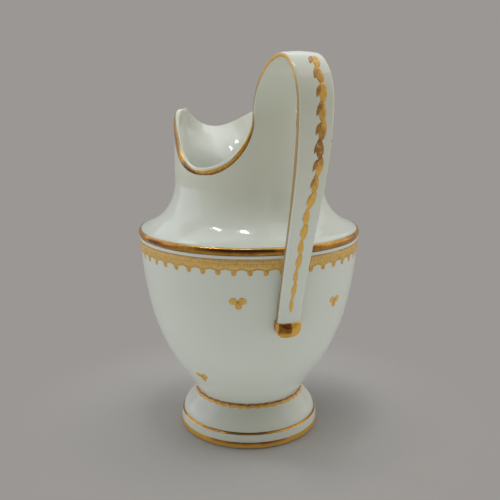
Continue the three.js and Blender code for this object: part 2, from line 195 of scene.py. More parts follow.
# %% [markdown]
# ## Glazed porcelain
# The body is a greenish-white hard-paste porcelain under a clear glaze. The glaze is thicker in the hollow
# corners, where it looks greener. It is warmer on neck and strap, and the foot is painted greyer as painted
# shade. A few dark specks of iron and ash are fired into it, and the standing ring is wiped clean and stays
# rough. An image could hold all this, but the object's own coordinates let one material serve every
# porcelain piece and run on across the luted joints. Only the painted light in the neck's hollow, a whiter
# tint, comes from a value that its points carry.


# %% Helpers for materials
def colour(red, green, blue):
    """A colour as it is read on a screen, 0 to 255, turned into the linear values that shaders use."""
    linear = [((v / 255 + 0.055) / 1.055) ** 2.4 for v in (red, green, blue)]
    return (*linear, 1.0)


def new_material(name):
    material = bpy.data.materials.new(name)
    material.use_nodes = True
    tree = material.node_tree
    tree.nodes.clear()
    start = Wire(tree)
    return material, start, start.node("ShaderNodeTexCoord", out="Object")


def finish_material(start, settings, height, strength, depth):
    """Ends a material with a bump, whose depth is in metres, the shader and the output."""
    bump = {"Height": height, "Strength": strength, "Distance": depth}
    inputs = {**settings, "Normal": start.node("ShaderNodeBump", None, bump)}
    shader = start.node("ShaderNodeBsdfPrincipled", None, inputs)
    start.node("ShaderNodeOutputMaterial", None, {"Surface": shader}, None)


def noise(start, place, scale, detail):
    inputs = {"Vector": place, "Scale": scale, "Detail": detail}
    return start.node("ShaderNodeTexNoise", None, inputs)


def carried(start, name):
    """A value that the points of a piece carry. It is 0 on pieces without it."""
    return start.node("ShaderNodeAttribute", {"attribute_name": name}, None, "Fac")


def layered(base, *layers):
    """Lays tints over a colour, one after the other, each with its own share."""
    for share, tint in layers:
        base = share.mix(base, tint)
    return base


print("material helpers ready; screen grey 128 is", round(colour(128, 128, 128)[0], 3))

# %% Porcelain
COOL_GLAZE = colour(211, 214, 206)
WARM_GLAZE = colour(204, 204, 189)
# Painted shade: the foot's glaze is greyer, as the foot gets less light.
FOOT_PAINTED_SHADE = colour(203, 205, 197)
POOLED_GLAZE = colour(190, 199, 186)
# Painted light: a whiter glaze colour for the neck's hollow, standing in for light that the lamps leave out
# there.
INSIDE_PAINTED_LIGHT = colour(229, 231, 223)
BARE_PASTE = colour(196, 184, 162)
ASH = colour(126, 118, 100)
# Heights on the jug, in metres, between which the glaze changes.
NECK_WARMS, FOOT_ENDS, PASTE_ENDS = (0.108, 0.135), (0.016, 0.021), (0.00025, 0.0007)
COLLAR_POOL_BEGINS, COLLAR_POOL_ENDS = (0.1025, 0.1036), (0.1038, 0.1062)
COLLAR_REACH = (0.0555, 0.0565)       # distances from the axis where the collar's pool ends
STEP_HEIGHT, STEP_POOL = 0.0077, (0.0002, 0.0016)  # the foot's hollow corner, and the pool's reach from it
# Specks that were fired into the glaze: place in mm, radius in mm, and colour.
KILN_SPECKS = [
    ((69.0, 0.7, 181.0), 0.75, colour(120, 122, 100)),
    ((76.6, 6.7, 149.8), 0.75, colour(120, 88, 70)),
    ((-20.0, 44.5, 66.0), 0.45, colour(110, 100, 84)),
    ((-38.0, -30.0, 52.0), 0.40, colour(124, 108, 88)),
]
SPECK_CORE, SPECK_STRENGTH = 0.45, 0.85  # share of a speck's radius that is full, and how dark it is


def kiln_speck(start, place, centre, radius):
    far = start.vector("DISTANCE", {0: place, 1: [v * MM for v in centre]}, "Value")
    return (1 - far.step(radius * SPECK_CORE * MM, radius * MM)) * SPECK_STRENGTH


def porcelain_material():
    material, start, place = new_material("porcelain_glaze")
    height = place.split().beside("Z")
    reach = start.vector("LENGTH", {0: start.vector("MULTIPLY", {0: place, 1: (1, 1, 0)})}, "Value")
    warm = height.step(*NECK_WARMS) * 0.75 + noise(start, place, 26.0, 3.0).step(0.35, 0.7) * 0.25
    foot_shade = 1 - height.step(*FOOT_ENDS)
    foot_corner = 1 - start.math("ABSOLUTE", height - STEP_HEIGHT).step(*STEP_POOL)
    collar_corner = height.step(*COLLAR_POOL_BEGINS) * (1 - height.step(*COLLAR_POOL_ENDS))
    collar_corner = collar_corner * (1 - reach.step(*COLLAR_REACH))
    ash = start.node("ShaderNodeTexVoronoi", None, {"Vector": place, "Scale": 95.0})
    rare = start.node("ShaderNodeSeparateColor", None, {0: ash.beside("Color")}).step(0.80, 0.82)
    bare = 1 - height.step(*PASTE_ENDS)
    base = layered(
        warm.mix(COOL_GLAZE, WARM_GLAZE),
        # painted shade on the foot
        (foot_shade, FOOT_PAINTED_SHADE),
        (foot_corner * 0.7 + collar_corner * 0.45, POOLED_GLAZE),
        ((1 - ash.step(0.010, 0.026)) * rare * 0.55, ASH),
        *((kiln_speck(start, place, centre, radius), tint) for centre, radius, tint in KILN_SPECKS),
        # painted light: a whiter tint in the neck's hollow
        (carried(start, "inside"), INSIDE_PAINTED_LIGHT),
        (bare, BARE_PASTE),
    )
    ripple = noise(start, place, 230.0, 2.0)
    pores = noise(start, place, 2600.0, 2.0)
    settings = {"Base Color": base, "Roughness": 0.075 + ripple * 0.05 + bare * 0.6, "IOR": 1.5}
    finish_material(start, settings, ripple * 0.8 + pores * 0.03, 0.10, 0.0006)
    return material


PORCELAIN = porcelain_material()
print("material:", PORCELAIN.name, len(PORCELAIN.node_tree.nodes), "nodes")

# %% [markdown]
# ## Gold
# Two kinds of gold are on the jug. The bands on bead, rim, foot, strap edges and pad are laid on thick and
# burnished: they mirror the room, so they look dark brown where the room is dark. The small ornament is
# painted thinly with a brush, so it is paler, less even and rougher. Both are worn through to the glaze in
# places. A plain yellow metal would miss this, so noise drives the tone, the wear and the brush streaks, and
# the points of a piece carry painted reflection and dullness: painted reflection goes from a painted dark
# reflection at -1 to a painted bright one at 1, and dull is 1 where the shine is gone. A stroke's tone goes
# from brown 0 to bright 1, and well above 1 it is a thin wash.

# %% Burnished and painted gold
DEEP_GOLD, LIGHT_GOLD = colour(166, 102, 42), colour(222, 170, 80)
# Painted reflection: a painted bright gold and a painted dark brown gold that stand in for what the gold
# mirrors.
PAINTED_BRIGHT_GOLD, PAINTED_DARK_GOLD = colour(244, 190, 86), colour(88, 46, 20)
DULL_GOLD, WORN_GOLD = colour(168, 140, 90), colour(190, 168, 130)
BROWN_PAINT, BRIGHT_PAINT = colour(140, 82, 40), colour(232, 184, 90)
WASH_PAINT, THIN_PAINT = colour(216, 182, 112), colour(204, 188, 154)
DARK_SLIP, PALE_SLIP = colour(200, 194, 178), colour(214, 210, 198)


def burnished_material():
    material, start, place = new_material("burnished_gold")
    burnish, dull = carried(start, "burnish"), carried(start, "dull")
    patch = noise(start, place, 70.0, 4.0)
    streak = noise(start, place, 420.0, 3.0)
    tone = patch.step(0.36, 0.66) * 0.65 + streak.step(0.3, 0.7) * 0.35
    # The points' value above 0 paints a bright reflection on the gold, and below 0 a dark one.
    painted_bright = burnish.step(0, 1)
    worn = (streak * 0.6 + patch * 0.4).step(0.64, 0.72)
    base = layered(
        tone.mix(DEEP_GOLD, LIGHT_GOLD),
        (painted_bright, PAINTED_BRIGHT_GOLD),
        ((0 - burnish).step(0, 1), PAINTED_DARK_GOLD),
        (dull, DULL_GOLD),
        (worn * 0.7, WORN_GOLD),
    )
    settings = {
        "Base Color": base,
        "Metallic": (0.9 - worn * 0.6 - painted_bright * 0.4) * (1 - dull * 0.75),
        "Roughness": 0.15 + streak * 0.16 + worn * 0.25 + dull * 0.25,
    }
    finish_material(start, settings, streak + patch * 0.5, 0.16, 0.0002)
    return material


def painted_material():
    material, start, place = new_material("painted_gold")
    tone, wear = carried(start, "tone"), carried(start, "wear")
    brush = noise(start, place, 620.0, 3.0)
    patch = noise(start, place, 110.0, 3.0)
    shade = tone * 0.75 + brush.step(0.3, 0.7) * 0.25
    wash = tone.step(1.2, 1.8)
    thin = (brush * 0.55 + patch * 0.45 + wear * 0.07).step(0.58, 0.72)
    base = shade.mix(BROWN_PAINT, BRIGHT_PAINT)
    settings = {
        "Base Color": layered(base, (wash, WASH_PAINT), (thin * 0.55, THIN_PAINT)),
        "Metallic": 0.2 - thin * 0.1 - wash * 0.1,
        "Roughness": 0.34 + brush * 0.22,
    }
    finish_material(start, settings, brush, 0.2, 0.00015)
    return material


def slip_material():
    material, start, place = new_material("fired_slip")
    grain = noise(start, place, 900.0, 4.0)
    settings = {"Base Color": grain.mix(DARK_SLIP, PALE_SLIP), "Roughness": 0.62 + grain * 0.2}
    finish_material(start, settings, grain, 0.3, 0.0002)
    return material


BURNISHED = burnished_material()
PAINTED = painted_material()
SLIP = slip_material()
print("materials:", BURNISHED.name, PAINTED.name, SLIP.name)

# %% [markdown]
# ## Plain mesh helpers
# Every piece ends as a plain mesh with its place in its own points, as the CAD nodes have. These helpers
# turn lists of points and faces into such a mesh, face it outward and hand it to the frame.

# %% Mesh helpers
WELD = 2e-6                           # points of a mesh that are nearer than this become one, in metres


def points_of(mesh):
    """The points of a mesh in mm."""
    spots = np.empty(len(mesh.vertices) * 3)
    mesh.vertices.foreach_get("co", spots)
    return spots.reshape(-1, 3) / MM


def volume_of(mesh):
    """In cubic mm, and below 0 where the faces look inward."""
    mesh.calc_loop_triangles()
    corners = np.empty(len(mesh.loop_triangles) * 3, dtype=np.int32)
    mesh.loop_triangles.foreach_get("vertices", corners)
    a, b, c = points_of(mesh)[corners.reshape(-1, 3).T]
    return float(np.einsum("ij,ij->i", a, np.cross(b, c)).sum() / 6)


def face_outward(mesh):
    if volume_of(mesh) < 0:
        mesh.flip_normals()
    return mesh


def carry(mesh, **values):
    """Gives every point of a mesh its own value under each name, for a material to read."""
    for label, value in values.items():
        mesh.attributes.new(label, "FLOAT", "POINT").data.foreach_set("value", value)


def mesh_of(name, points, faces, **values):
    """A welded, smooth mesh from points in mm that carry these values. Its faces are turned outward."""
    mesh = bpy.data.meshes.new(name)
    mesh.from_pydata([tuple(p) for p in np.asarray(points) * MM], [], [tuple(f) for f in faces])
    carry(mesh, **values)
    work = bmesh.new()
    work.from_mesh(mesh)
    bmesh.ops.remove_doubles(work, verts=work.verts, dist=WELD)
    bmesh.ops.recalc_face_normals(work, faces=work.faces)
    work.to_mesh(mesh)
    work.free()
    face_outward(mesh)
    mesh.shade_smooth()
    return mesh


def ring_faces(rings, count):
    """Quads between closed rings of points that are numbered ring after ring."""
    faces = []
    for i in range(rings - 1):
        here, there = i * count, (i + 1) * count
        for j in range(count):
            k = (j + 1) % count
            faces.append((here + j, here + k, there + k, there + j))
    return faces


print("mesh helpers ready; a ring of four points gives", len(ring_faces(2, 4)), "faces to the next")

# %% Handing a piece to the frame
PIECES = []


def add_piece(name, mesh, slot, *nodes, material=None):
    """Puts a finished mesh into the scene as a piece that stands for its CAD nodes."""
    mesh.name = name
    if material:
        mesh.materials.clear()
        mesh.materials.append(material)
    piece = put(name, mesh)
    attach(piece, "root")
    if nodes:
        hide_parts(*nodes)
    PIECES.append(piece)
    volume = round(volume_of(mesh), 1)
    print(name, len(mesh.loop_triangles), "triangles", volume, "mm3")
    return piece


print("pieces so far:", len(PIECES))

# %% [markdown]
# ### Curves and profiles
# The forms of the jug are smooth curves between a few places. A curve object could hold them, but points in
# an array are easier to cut, shift sideways and measure. These helpers work on such rows of points in mm.


# %% Curve helpers
def between(first, second, share):
    """From the first value to the second as the share goes from 0 to 1."""
    return first + (second - first) * share


def smoothstep(x, low, high):
    t = np.clip((np.asarray(x, dtype=float) - low) / (high - low), 0, 1)
    return t * t * (3 - 2 * t)


def read_off(table, places):
    """Values at some places of a table {place: value}, in a straight line between its entries."""
    return np.interp(places, list(table), list(table.values()))


def unit(ways):
    return ways / np.linalg.norm(ways, axis=-1, keepdims=True)


def run_length(points):
    """Length along a row of points, from its start to each of them."""
    steps = np.linalg.norm(np.diff(points, axis=-2), axis=-1)
    start = np.zeros((*steps.shape[:-1], 1))
    return np.concatenate([start, np.cumsum(steps, axis=-1)], axis=-1)


def cubic(a, b, c, d, t):
    return a * (1 - t) ** 3 + 3 * b * t * (1 - t) ** 2 + 3 * c * t * t * (1 - t) + d * t ** 3


def bend(a, b, c, d, steps, first=0.0, last=1.0):
    """Points of a cubic curve between two of its shares, and its directions there."""
    t = np.linspace(first, last, steps + 1)[:, None]
    a, b, c, d = (np.array(p, dtype=float) for p in (a, b, c, d))
    ways = (b - a) * (1 - t) ** 2 + 2 * (c - b) * t * (1 - t) + (d - c) * t * t
    return cubic(a, b, c, d, t), unit(ways)


def leftward(points, ways, offset):
    """The same curve, moved sideways to the left of its direction."""
    return points + offset * np.stack([-ways[:, 1], ways[:, 0]], axis=1)


def soften(corners):
    """Rounds the corners of a profile. Each corner is (radius, height, rounding)."""
    row = []
    for i, (r, z, rounding) in enumerate(corners):
        here = np.array([r, z], dtype=float)
        if not rounding or i in (0, len(corners) - 1):
            row.append(here)
            continue
        before, after = (here + unit(np.array(corners[k][:2]) - here) * rounding for k in (i - 1, i + 1))
        for t in np.linspace(0, 1, 6):
            row.append(before * (1 - t) ** 2 + 2 * here * t * (1 - t) + after * t * t)
    return row


print("curve helpers ready")

# %% [markdown]
# ## Turned forms
# Foot, bowl, bead and bands are round: the real ones were turned on a wheel or cast from a turned model.
# They could be spun in mesh code, but a Geometry Nodes tree states the rule itself. It takes the points
# of a profile, lays out a grid with one row for each point and one column for each step round the axis,
# and moves each corner of the grid to its place. Merging by distance closes the seam and the poles.

# %% Trees that grow a mesh
MERGE = 8e-6                          # points of a grown mesh that are nearer than this become one, in metres


def new_tree(name, sockets):
    """An empty Geometry Nodes tree with named inputs, the wire of its geometry, and the inputs' keys."""
    tree = bpy.data.node_groups.new(name, "GeometryNodeTree")
    tree.interface.new_socket("Geometry", in_out="OUTPUT", socket_type="NodeSocketGeometry")
    tree.interface.new_socket("Geometry", in_out="INPUT", socket_type="NodeSocketGeometry")
    keys = {}
    for label, kind in sockets.items():
        item = tree.interface.new_socket(label, in_out="INPUT", socket_type="NodeSocket" + kind)
        keys[label] = item.identifier
    entry = Wire(tree).node("NodeGroupInput", out="Geometry")
    return tree, entry, keys


def end_tree(entry, shape, place):
    """Moves the points to their place and merges them: smooth faces, no instances, and the material last."""
    shape = entry.node("GeometryNodeSetPosition", None, {"Geometry": shape, "Position": place})
    shape = entry.node("GeometryNodeMergeByDistance", None, {"Geometry": shape, "Distance": MERGE})
    shape = entry.node("GeometryNodeSetShadeSmooth", None, {"Geometry": shape})
    shape = entry.node("GeometryNodeRealizeInstances", None, {"Geometry": shape})
    inputs = {"Geometry": shape, "Material": entry.beside("Material")}
    shape = entry.node("GeometryNodeSetMaterial", None, inputs)
    entry.node("NodeGroupOutput", None, {"Geometry": shape}, None)


def grow(name, seed, rule, values):
    """Runs a tree on a seed mesh once and returns the result as a plain mesh, faced outward."""
    tree, keys = rule
    holder = put(name + "_seed", seed)
    modifier = holder.modifiers.new("grow", "NODES")
    modifier.node_group = tree
    for label, value in values.items():
        modifier[keys[label]] = value
    graph = bpy.context.evaluated_depsgraph_get()
    mesh = bpy.data.meshes.new_from_object(holder.evaluated_get(graph), depsgraph=graph)
    holder.modifiers.clear()
    bpy.data.objects.remove(holder)
    return face_outward(mesh)


print("points merge below", MERGE / MM, "mm")


# %% The turning tree
def turning_tree():
    tree, entry, keys = new_tree("turned_form", {"Turns": "Int", "Material": "Material"})
    size = entry.node("GeometryNodeAttributeDomainSize", {"component": "MESH"}, {0: entry}, "Point Count")
    inputs = {"Size X": 1.0, "Size Y": 1.0, "Vertices X": entry.beside("Turns") + 1, "Vertices Y": size}
    grid = entry.node("GeometryNodeMeshGrid", None, inputs)
    spot = entry.node("GeometryNodeInputPosition")
    column = spot.split()
    row = entry.math("FLOOR", (column.beside("Y") + 0.5) * (size - 1) + 0.5)
    settings = {"data_type": "FLOAT_VECTOR", "domain": "POINT"}
    inputs = {"Geometry": entry, "Value": spot, "Index": row}
    radius = entry.node("GeometryNodeSampleIndex", settings, inputs).split()
    angle = (column + 0.5) * (2 * math.pi)
    x, y = (radius * entry.math(operation, angle) for operation in ("COSINE", "SINE"))
    end_tree(entry, grid, entry.join(x, y, radius.beside("Z")))
    return tree, keys


TURNING = turning_tree()


def turned(name, profile, material, slot, *nodes, turns=192):
    """A turned piece from a profile of (radius, height) points in mm."""
    seed = bpy.data.meshes.new(name + "_profile")
    seed.from_pydata([(r * MM, 0, z * MM) for r, z in profile], [], [])
    mesh = grow(name, seed, TURNING, {"Turns": turns, "Material": material})
    return add_piece(name, mesh, slot, *nodes)


print("turning tree:", len(TURNING[0].nodes), "nodes")

# %% [markdown]
# ## Foot and bowl
# The foot is a plain ring with a dome above it and a hollow below. The bowl swells from the waist to a
# sharp shoulder. Both follow the curves of the CAD model, with many more steps and with the corners
# softened as glaze softens them. At the waist the two glazes meet flush, and the slip lies behind.

# %% Foot and bowl
WAIST = 26.8
LEDGE = 26.0                          # radius where the slip of the waist begins, behind the glaze
FOOT_TOP, SEAM, BOWL_BASE = 19.6, 19.85, 20.1   # the glazes of foot and bowl meet at the seam
HOLLOW_RADIUS, HOLLOW_TOP = 28.2, 13.6
SHOULDER, BOWL_TOP, COLLAR_BASE = 54.0, 100.2, 100.7
BOWL_WALL = 3.2
DOME = [(33.9, 8.0), (33.5, 12.4), (28.4, 15.0), (WAIST, FOOT_TOP)]
HOLLOW = [(HOLLOW_RADIUS, 0.0), (27.2, 7.48), (22.56, HOLLOW_TOP), (14.1, HOLLOW_TOP)]
SWELL = [(WAIST, BOWL_BASE), (44.6, 46.29), (50.8, 56.79), (SHOULDER, BOWL_TOP)]
# Corners of the standing ring from the hollow up to the dome: radius, height and rounding.
FOOT_RING = [
    (HOLLOW_RADIUS, 0, 0.9), (34.2, 0, 0.5), (35.04, 0.42, 0.35), (35.4, 1.2, 0.5),
    (35.2, 3.6, 0.6), (34.85, 7.1, 0.55), (33.98, 7.55, 0.3),
]
WAIST_SLIP = [(0, FOOT_TOP), (25.9, FOOT_TOP), (25.9, BOWL_BASE), (0, BOWL_BASE)]
COLLAR_SLIP = [(51.1, BOWL_TOP), (52.6, BOWL_TOP), (52.6, COLLAR_BASE), (51.1, COLLAR_BASE), (51.1, BOWL_TOP)]
SLIP_TURNS = 96
WALL_SHARE = 0.16                     # share of the swell below which the inside goes over into the floor
FLOOR_PULL = 4                        # steps of the wall by which it keeps its direction there
FLOOR_CURVE = [(20, 25.3), (0, 25.1)]


def foot_profile():
    hollow = bend(*HOLLOW, 24)[0][::-1]
    dome = bend(*DOME, 36)[0]
    edge = soften([(*hollow[-2], 0), *FOOT_RING, (*dome[1], 0)])
    top = [(WAIST, SEAM), (26.6, SEAM), (LEDGE, SEAM), (LEDGE, FOOT_TOP), (0, FOOT_TOP)]
    return [(0, HOLLOW_TOP), *hollow[:-2], *edge, *dome[2:], *top]


def bowl_profile():
    points, _ = bend(*SWELL, 84)
    wall = leftward(*bend(*SWELL, 60, 1.0, WALL_SHARE), BOWL_WALL)
    last = wall[-1]
    floor, _ = bend(last, last + (last - wall[-2]) * FLOOR_PULL, *FLOOR_CURVE, 16)
    rim = soften([(*points[-2], 0), (SHOULDER, BOWL_TOP, 0.35), (51.2, BOWL_TOP, 0), (50.8, 100.0, 0)])
    under = [(0, BOWL_BASE), (LEDGE, BOWL_BASE), (LEDGE, SEAM), (26.6, SEAM), (WAIST, SEAM)]
    return [*under, *points[:-2], *rim, *wall[1:], *floor[1:]]


foot = turned("foot_body", foot_profile(), PORCELAIN, "porcelain", "foot")
bowl = turned("bowl_body", bowl_profile(), PORCELAIN, "porcelain", "bowl")
turned("waist_slip", WAIST_SLIP, SLIP, "fired_slip", "foot_luting_slip", turns=SLIP_TURNS)
turned("collar_slip", COLLAR_SLIP, SLIP, "fired_slip", "shoulder_luting_slip", turns=SLIP_TURNS)

# %% [markdown]
# ## Bead and plain bands
# A half-round bead covers the joint at the shoulder and is gilded all over. Two plain bands run round the
# foot. They are gold leaf thin, so each is a closed skin that rises a few hundredths of a millimetre out
# of the glaze and sinks back at its edges. The same turning tree makes them from small profiles. One tone
# all round would look like brass, so the points carry painted reflection: a browner gold in front, where
# the dark room is mirrored, and a brighter one elsewhere.

# %% Bead and foot bands
LEAF_RISE = 0.07                      # how far gold stands out of the glaze
LEAF_SINK = 0.06                      # how deep its back lies in it
EDGE_SINK = 0.02                      # how deep its edges lie in it
EDGE_SLOPE = 6                        # a sixth of its width from each edge it has its full height
BEAD_RADIUS, BEAD_HEIGHT = 53.15, 101.88
BEAD_BULGE, BEAD_HALF, BEAD_POWER = 1.2, 1.58, 0.7
BEAD_BACK = [(52.9, 103.3), (52.9, 100.45)]
RING_RADIUS, RING_TOP = 34.0, 7.5     # the hollow lies inside this radius and below this height
# How far a band's painted reflection in front counts, by degrees to the right of the camera's side.
FRONT_SHARES = {-36: 0, -12: 1, 12: 1, 36: 0}
BEAD_SHARES = {-72: 0, -62: 0.4, -56: 1, -48: 1, -42: 0.2, -30: 0, -22: 0.8, -16: 1, 12: 1, 36: 0}
# Painted reflection of the bead: in front from below to above, and all round.
BEAD_FRONT_REFLECTION, BEAD_FLANK = (0.6, 0.3, -0.45, -0.75, -0.6, 0.7), 0.3
# Lower and upper edge in mm, CAD node, painted reflection in front from below to above, and all round.
FOOT_BANDS = {
    "base_band": (0.5, 3.7, "foot_base_gilding", (0.75, 0.75, 0.6, -0.45, -0.75), 0.75),
    "step_line": (7.05, 8.15, "foot_line_gilding", (-0.55, -0.55), 0.1),
}


def bead_profile():
    """Half-round, flatter in the middle, from the shoulder up to the collar's corner."""
    turn = np.linspace(-math.pi / 2, math.pi / 2, 25)
    bulge = np.sign(np.cos(turn)) * np.abs(np.cos(turn)) ** BEAD_POWER
    row = np.stack([BEAD_RADIUS + BEAD_BULGE * bulge, BEAD_HEIGHT + BEAD_HALF * np.sin(turn)], axis=1)
    return [*row, *BEAD_BACK, row[0]]


def leaf_rise(share):
    """Height of gold over the glaze at a share of its width: even in the middle, sunk at both edges."""
    return LEAF_RISE * np.minimum(1, EDGE_SLOPE * np.minimum(share, 1 - share)) - EDGE_SINK


def leaf_profile(line):
    """A thin closed skin over a line of (radius, height) points that climbs."""
    ways = unit(np.gradient(line, axis=0))
    share = np.linspace(0, 1, len(line))[:, None]
    front = leftward(line, ways, -leaf_rise(share))
    back = leftward(line, ways, LEAF_SINK)
    return [*front, *back[::-1], front[0]]


def foot_line(low, high, steps=14):
    """The foot's outside between two heights."""
    profile = np.array(foot_profile())
    in_hollow = (profile[:, 0] < RING_RADIUS) & (profile[:, 1] < RING_TOP)
    outside = profile[(profile[:, 0] >= WAIST) & ~in_hollow]
    z = np.linspace(low, high, steps + 1)
    return np.stack([np.interp(z, outside[:, 1], outside[:, 0]), z], axis=1)


def paint_front_reflection(piece, front, flank, shares):
    """Paints reflection on a band: front holds the values from the lower to the upper edge where the band
    mirrors the dark side of the room, flank is the value all round, and shares says how far front counts."""
    spots = points_of(piece.data)
    angle = np.degrees(np.arctan2(spots[:, 1], spots[:, 0])) + math.degrees(CAMERA_TURN)
    near = read_off(shares, (angle + 180) % 360 - 180)
    height = spots[:, 2] - spots[:, 2].min()
    facing = np.interp(height / height.max(), np.linspace(0, 1, len(front)), front)
    carry(piece.data, burnish=between(flank, facing, near))


bead = turned("shoulder_bead_body", bead_profile(), BURNISHED, "gilding", "shoulder_bead", turns=256)
paint_front_reflection(bead, BEAD_FRONT_REFLECTION, BEAD_FLANK, BEAD_SHARES)
for name, (low, high, node, front, flank) in FOOT_BANDS.items():
    band = turned(name, leaf_profile(foot_line(low, high)), BURNISHED, "gilding", node)
    paint_front_reflection(band, front, flank, FRONT_SHARES)

# %% [markdown]
# ## Neck and strap as one sheet
# On the real jug the rim climbs at the rear into a tongue, and the tongue becomes the strap of the handle.
# Neck, slip and strap are three castings, but under the glaze they read as one bent sheet with one round
# edge. So they are made as one sheet: a flat pattern of places (across, along) that is rolled round the
# axis below the joint and bent along the handle's path above it. Columns run inward from the edge, square
# to it, so that the edge can be rounded evenly. The finished skin is then cut at the two joints.

# %% The neck and its rim
NECK_RADIUS = 36.2
NECK_WALL = 3.0
MIDDLE = NECK_RADIUS - NECK_WALL / 2  # radius of the wall's middle
NECK_BASE = 124.6
RIM_LOW, RIM_LOW_ANGLE = 134.8, 61.0
RIM_CREST, CREST_FROM, CREST_TO = 160.0, 125.0, 147.0
LIP_HEIGHT, LIP_REACH, LIP_HALF = 148.8, 61.0, 53.0
LIP_NARROWING, LIP_FLARE = 2.1, 1.8   # powers of the lip's form across and up
TONGUE_TOP, TONGUE_ANGLE = 157.5, 16.6
SPRING = [
    (TONGUE_ANGLE, TONGUE_TOP), (17.6, 147.5),
    (0.54 * RIM_LOW_ANGLE, RIM_LOW), (RIM_LOW_ANGLE, RIM_LOW),
]
CAVETTO = [(53.0, 103.6), (45.5, 105.9), (37.0, 112.42), (NECK_RADIUS, NECK_BASE)]


def rim_leg(from_angle, to_angle, from_height, to_height):
    """A part of the rim that starts and ends level."""
    t = np.linspace(0, 1, 121)[1:]
    ease = (1 - np.cos(np.pi * t)) / 2
    return np.stack([between(from_angle, to_angle, t), between(from_height, to_height, ease)], axis=1)


def rim_line():
    """Degrees from the handle and height, from the tongue's edge to the lip."""
    rise = rim_leg(RIM_LOW_ANGLE, CREST_FROM, RIM_LOW, RIM_CREST)
    crest = rim_leg(CREST_FROM, CREST_TO, RIM_CREST, RIM_CREST)
    fall = rim_leg(CREST_TO, 180, RIM_CREST, LIP_HEIGHT)
    return np.concatenate([bend(*SPRING, 200)[0], rise, crest, fall])


RIM = rim_line()


def neck_outer(angle, z):
    """Outside radius of the neck at degrees from the handle and a height."""
    away = np.minimum(np.abs(180 - angle) / LIP_HALF, 1)
    bell = np.maximum(np.cos(away * np.pi / 2), 0) ** LIP_NARROWING
    top = np.interp(angle, RIM[:, 0], RIM[:, 1])
    climb = np.maximum((z - NECK_BASE) / (top - NECK_BASE), 0)
    return NECK_RADIUS + (LIP_REACH - NECK_RADIUS) * bell * climb ** LIP_FLARE


def neck_middle(angle, z):
    lean = neck_outer(angle, z) - neck_outer(angle, z - 1)
    return neck_outer(angle, z) - NECK_WALL / 2 * np.hypot(1, lean)


print("rim points", len(RIM), "from", RIM[0], "to", RIM[-1])

# %% The strap's way
SLIP_DEPTH = 0.5
ROOT = TONGUE_TOP + SLIP_DEPTH        # height where the strap begins
ARCH_TOP, ARCH_OUT = (58.6, 182.7), (76.9, 163.0)
STRAP_END = 70.5                      # height of the strap's lower end
STRAP_STANDOFF = 0.45 + 1.9           # from the bowl to the strap's middle: slip, and half of the strap
ROLL_END = 0.24                       # share of the way after which the strap is no longer rolled
STRAP_WIDE, STRAP_NARROW = 7.7, 5.45  # half widths after the arch and at the lower end
ARCH_THICK, STRAP_THICK, END_THICK = 2.6, 4.2, 3.8
STRAP_CROWN = 0.6
# Shares of the strap's way between which it gets narrower, thinner, thicker and thinner again.
STRAP_NARROWS, ARCH_THINS, STRAP_THICKENS, END_THINS = (0.3, 1), (0, 0.14), (0.3, 0.58), (0.6, 1)
NEARLY_FLAT = 1e-5                    # smallest curvature across, because the sheet divides by it
SWELL_LINE = bend(*SWELL, 400)[0]


def bowl_radius(z):
    return np.interp(z, SWELL_LINE[:, 1], SWELL_LINE[:, 0])


def strap_way():
    """The strap's middle line: length from the root, places (x, z) and directions."""
    end = bowl_radius(STRAP_END) + STRAP_STANDOFF
    legs = [
        [(MIDDLE, ROOT), (MIDDLE, 171.83), (45.46, 182.7), ARCH_TOP],
        [ARCH_TOP, (68.85, 182.7), (76.9, 174.03), ARCH_OUT],
        [ARCH_OUT, (76.9, 135.0), (end + 4.6, 95.0), (end, STRAP_END)],
    ]
    points = np.concatenate([bend(*leg, 300)[0][(1 if i else 0):] for i, leg in enumerate(legs)])
    length = run_length(points)
    return length, points, unit(np.gradient(points, length, axis=0))


WAY, WAY_POINTS, WAY_DIRECTIONS = strap_way()
WAY_LENGTH = WAY[-1]


def on_way(s):
    """Middle point x, z and direction dx, dz at a length. Past the end the strap runs straight on."""
    inside = np.clip(s, 0, WAY_LENGTH)
    x, z, dx, dz = (np.interp(inside, WAY, row) for row in (*WAY_POINTS.T, *WAY_DIRECTIONS.T))
    past = np.maximum(s - WAY_LENGTH, 0)
    return x + dx * past, z + dz * past, dx, dz


def strap_half(s):
    """Half of the strap's width."""
    u = s / WAY_LENGTH
    root = MIDDLE * math.sin(math.radians(TONGUE_ANGLE))
    wide = between(root, STRAP_WIDE, smoothstep(u, 0, ROLL_END))
    return between(wide, STRAP_NARROW, smoothstep(u, *STRAP_NARROWS))


def strap_thick(s):
    u = s / WAY_LENGTH
    arch = between(NECK_WALL, ARCH_THICK, smoothstep(u, *ARCH_THINS))
    full = between(arch, STRAP_THICK, smoothstep(u, *STRAP_THICKENS))
    return between(full, END_THICK, smoothstep(u, *END_THINS))


def strap_roll(s):
    """Curvature across the strap: the neck's own at the root, none after the arch."""
    return np.maximum((1 - smoothstep(s / WAY_LENGTH, 0, ROLL_END)) / MIDDLE, NEARLY_FLAT)


def strap_crown(s):
    return STRAP_CROWN * smoothstep(s / WAY_LENGTH, 0, ROLL_END)


print("strap length", round(WAY_LENGTH, 1), "mm")

# %% The sheet
STRAP_LIMIT = 25.0                    # half of the pattern's width that can belong to the strap
NUDGE = 0.02                          # step for the sheet's slopes


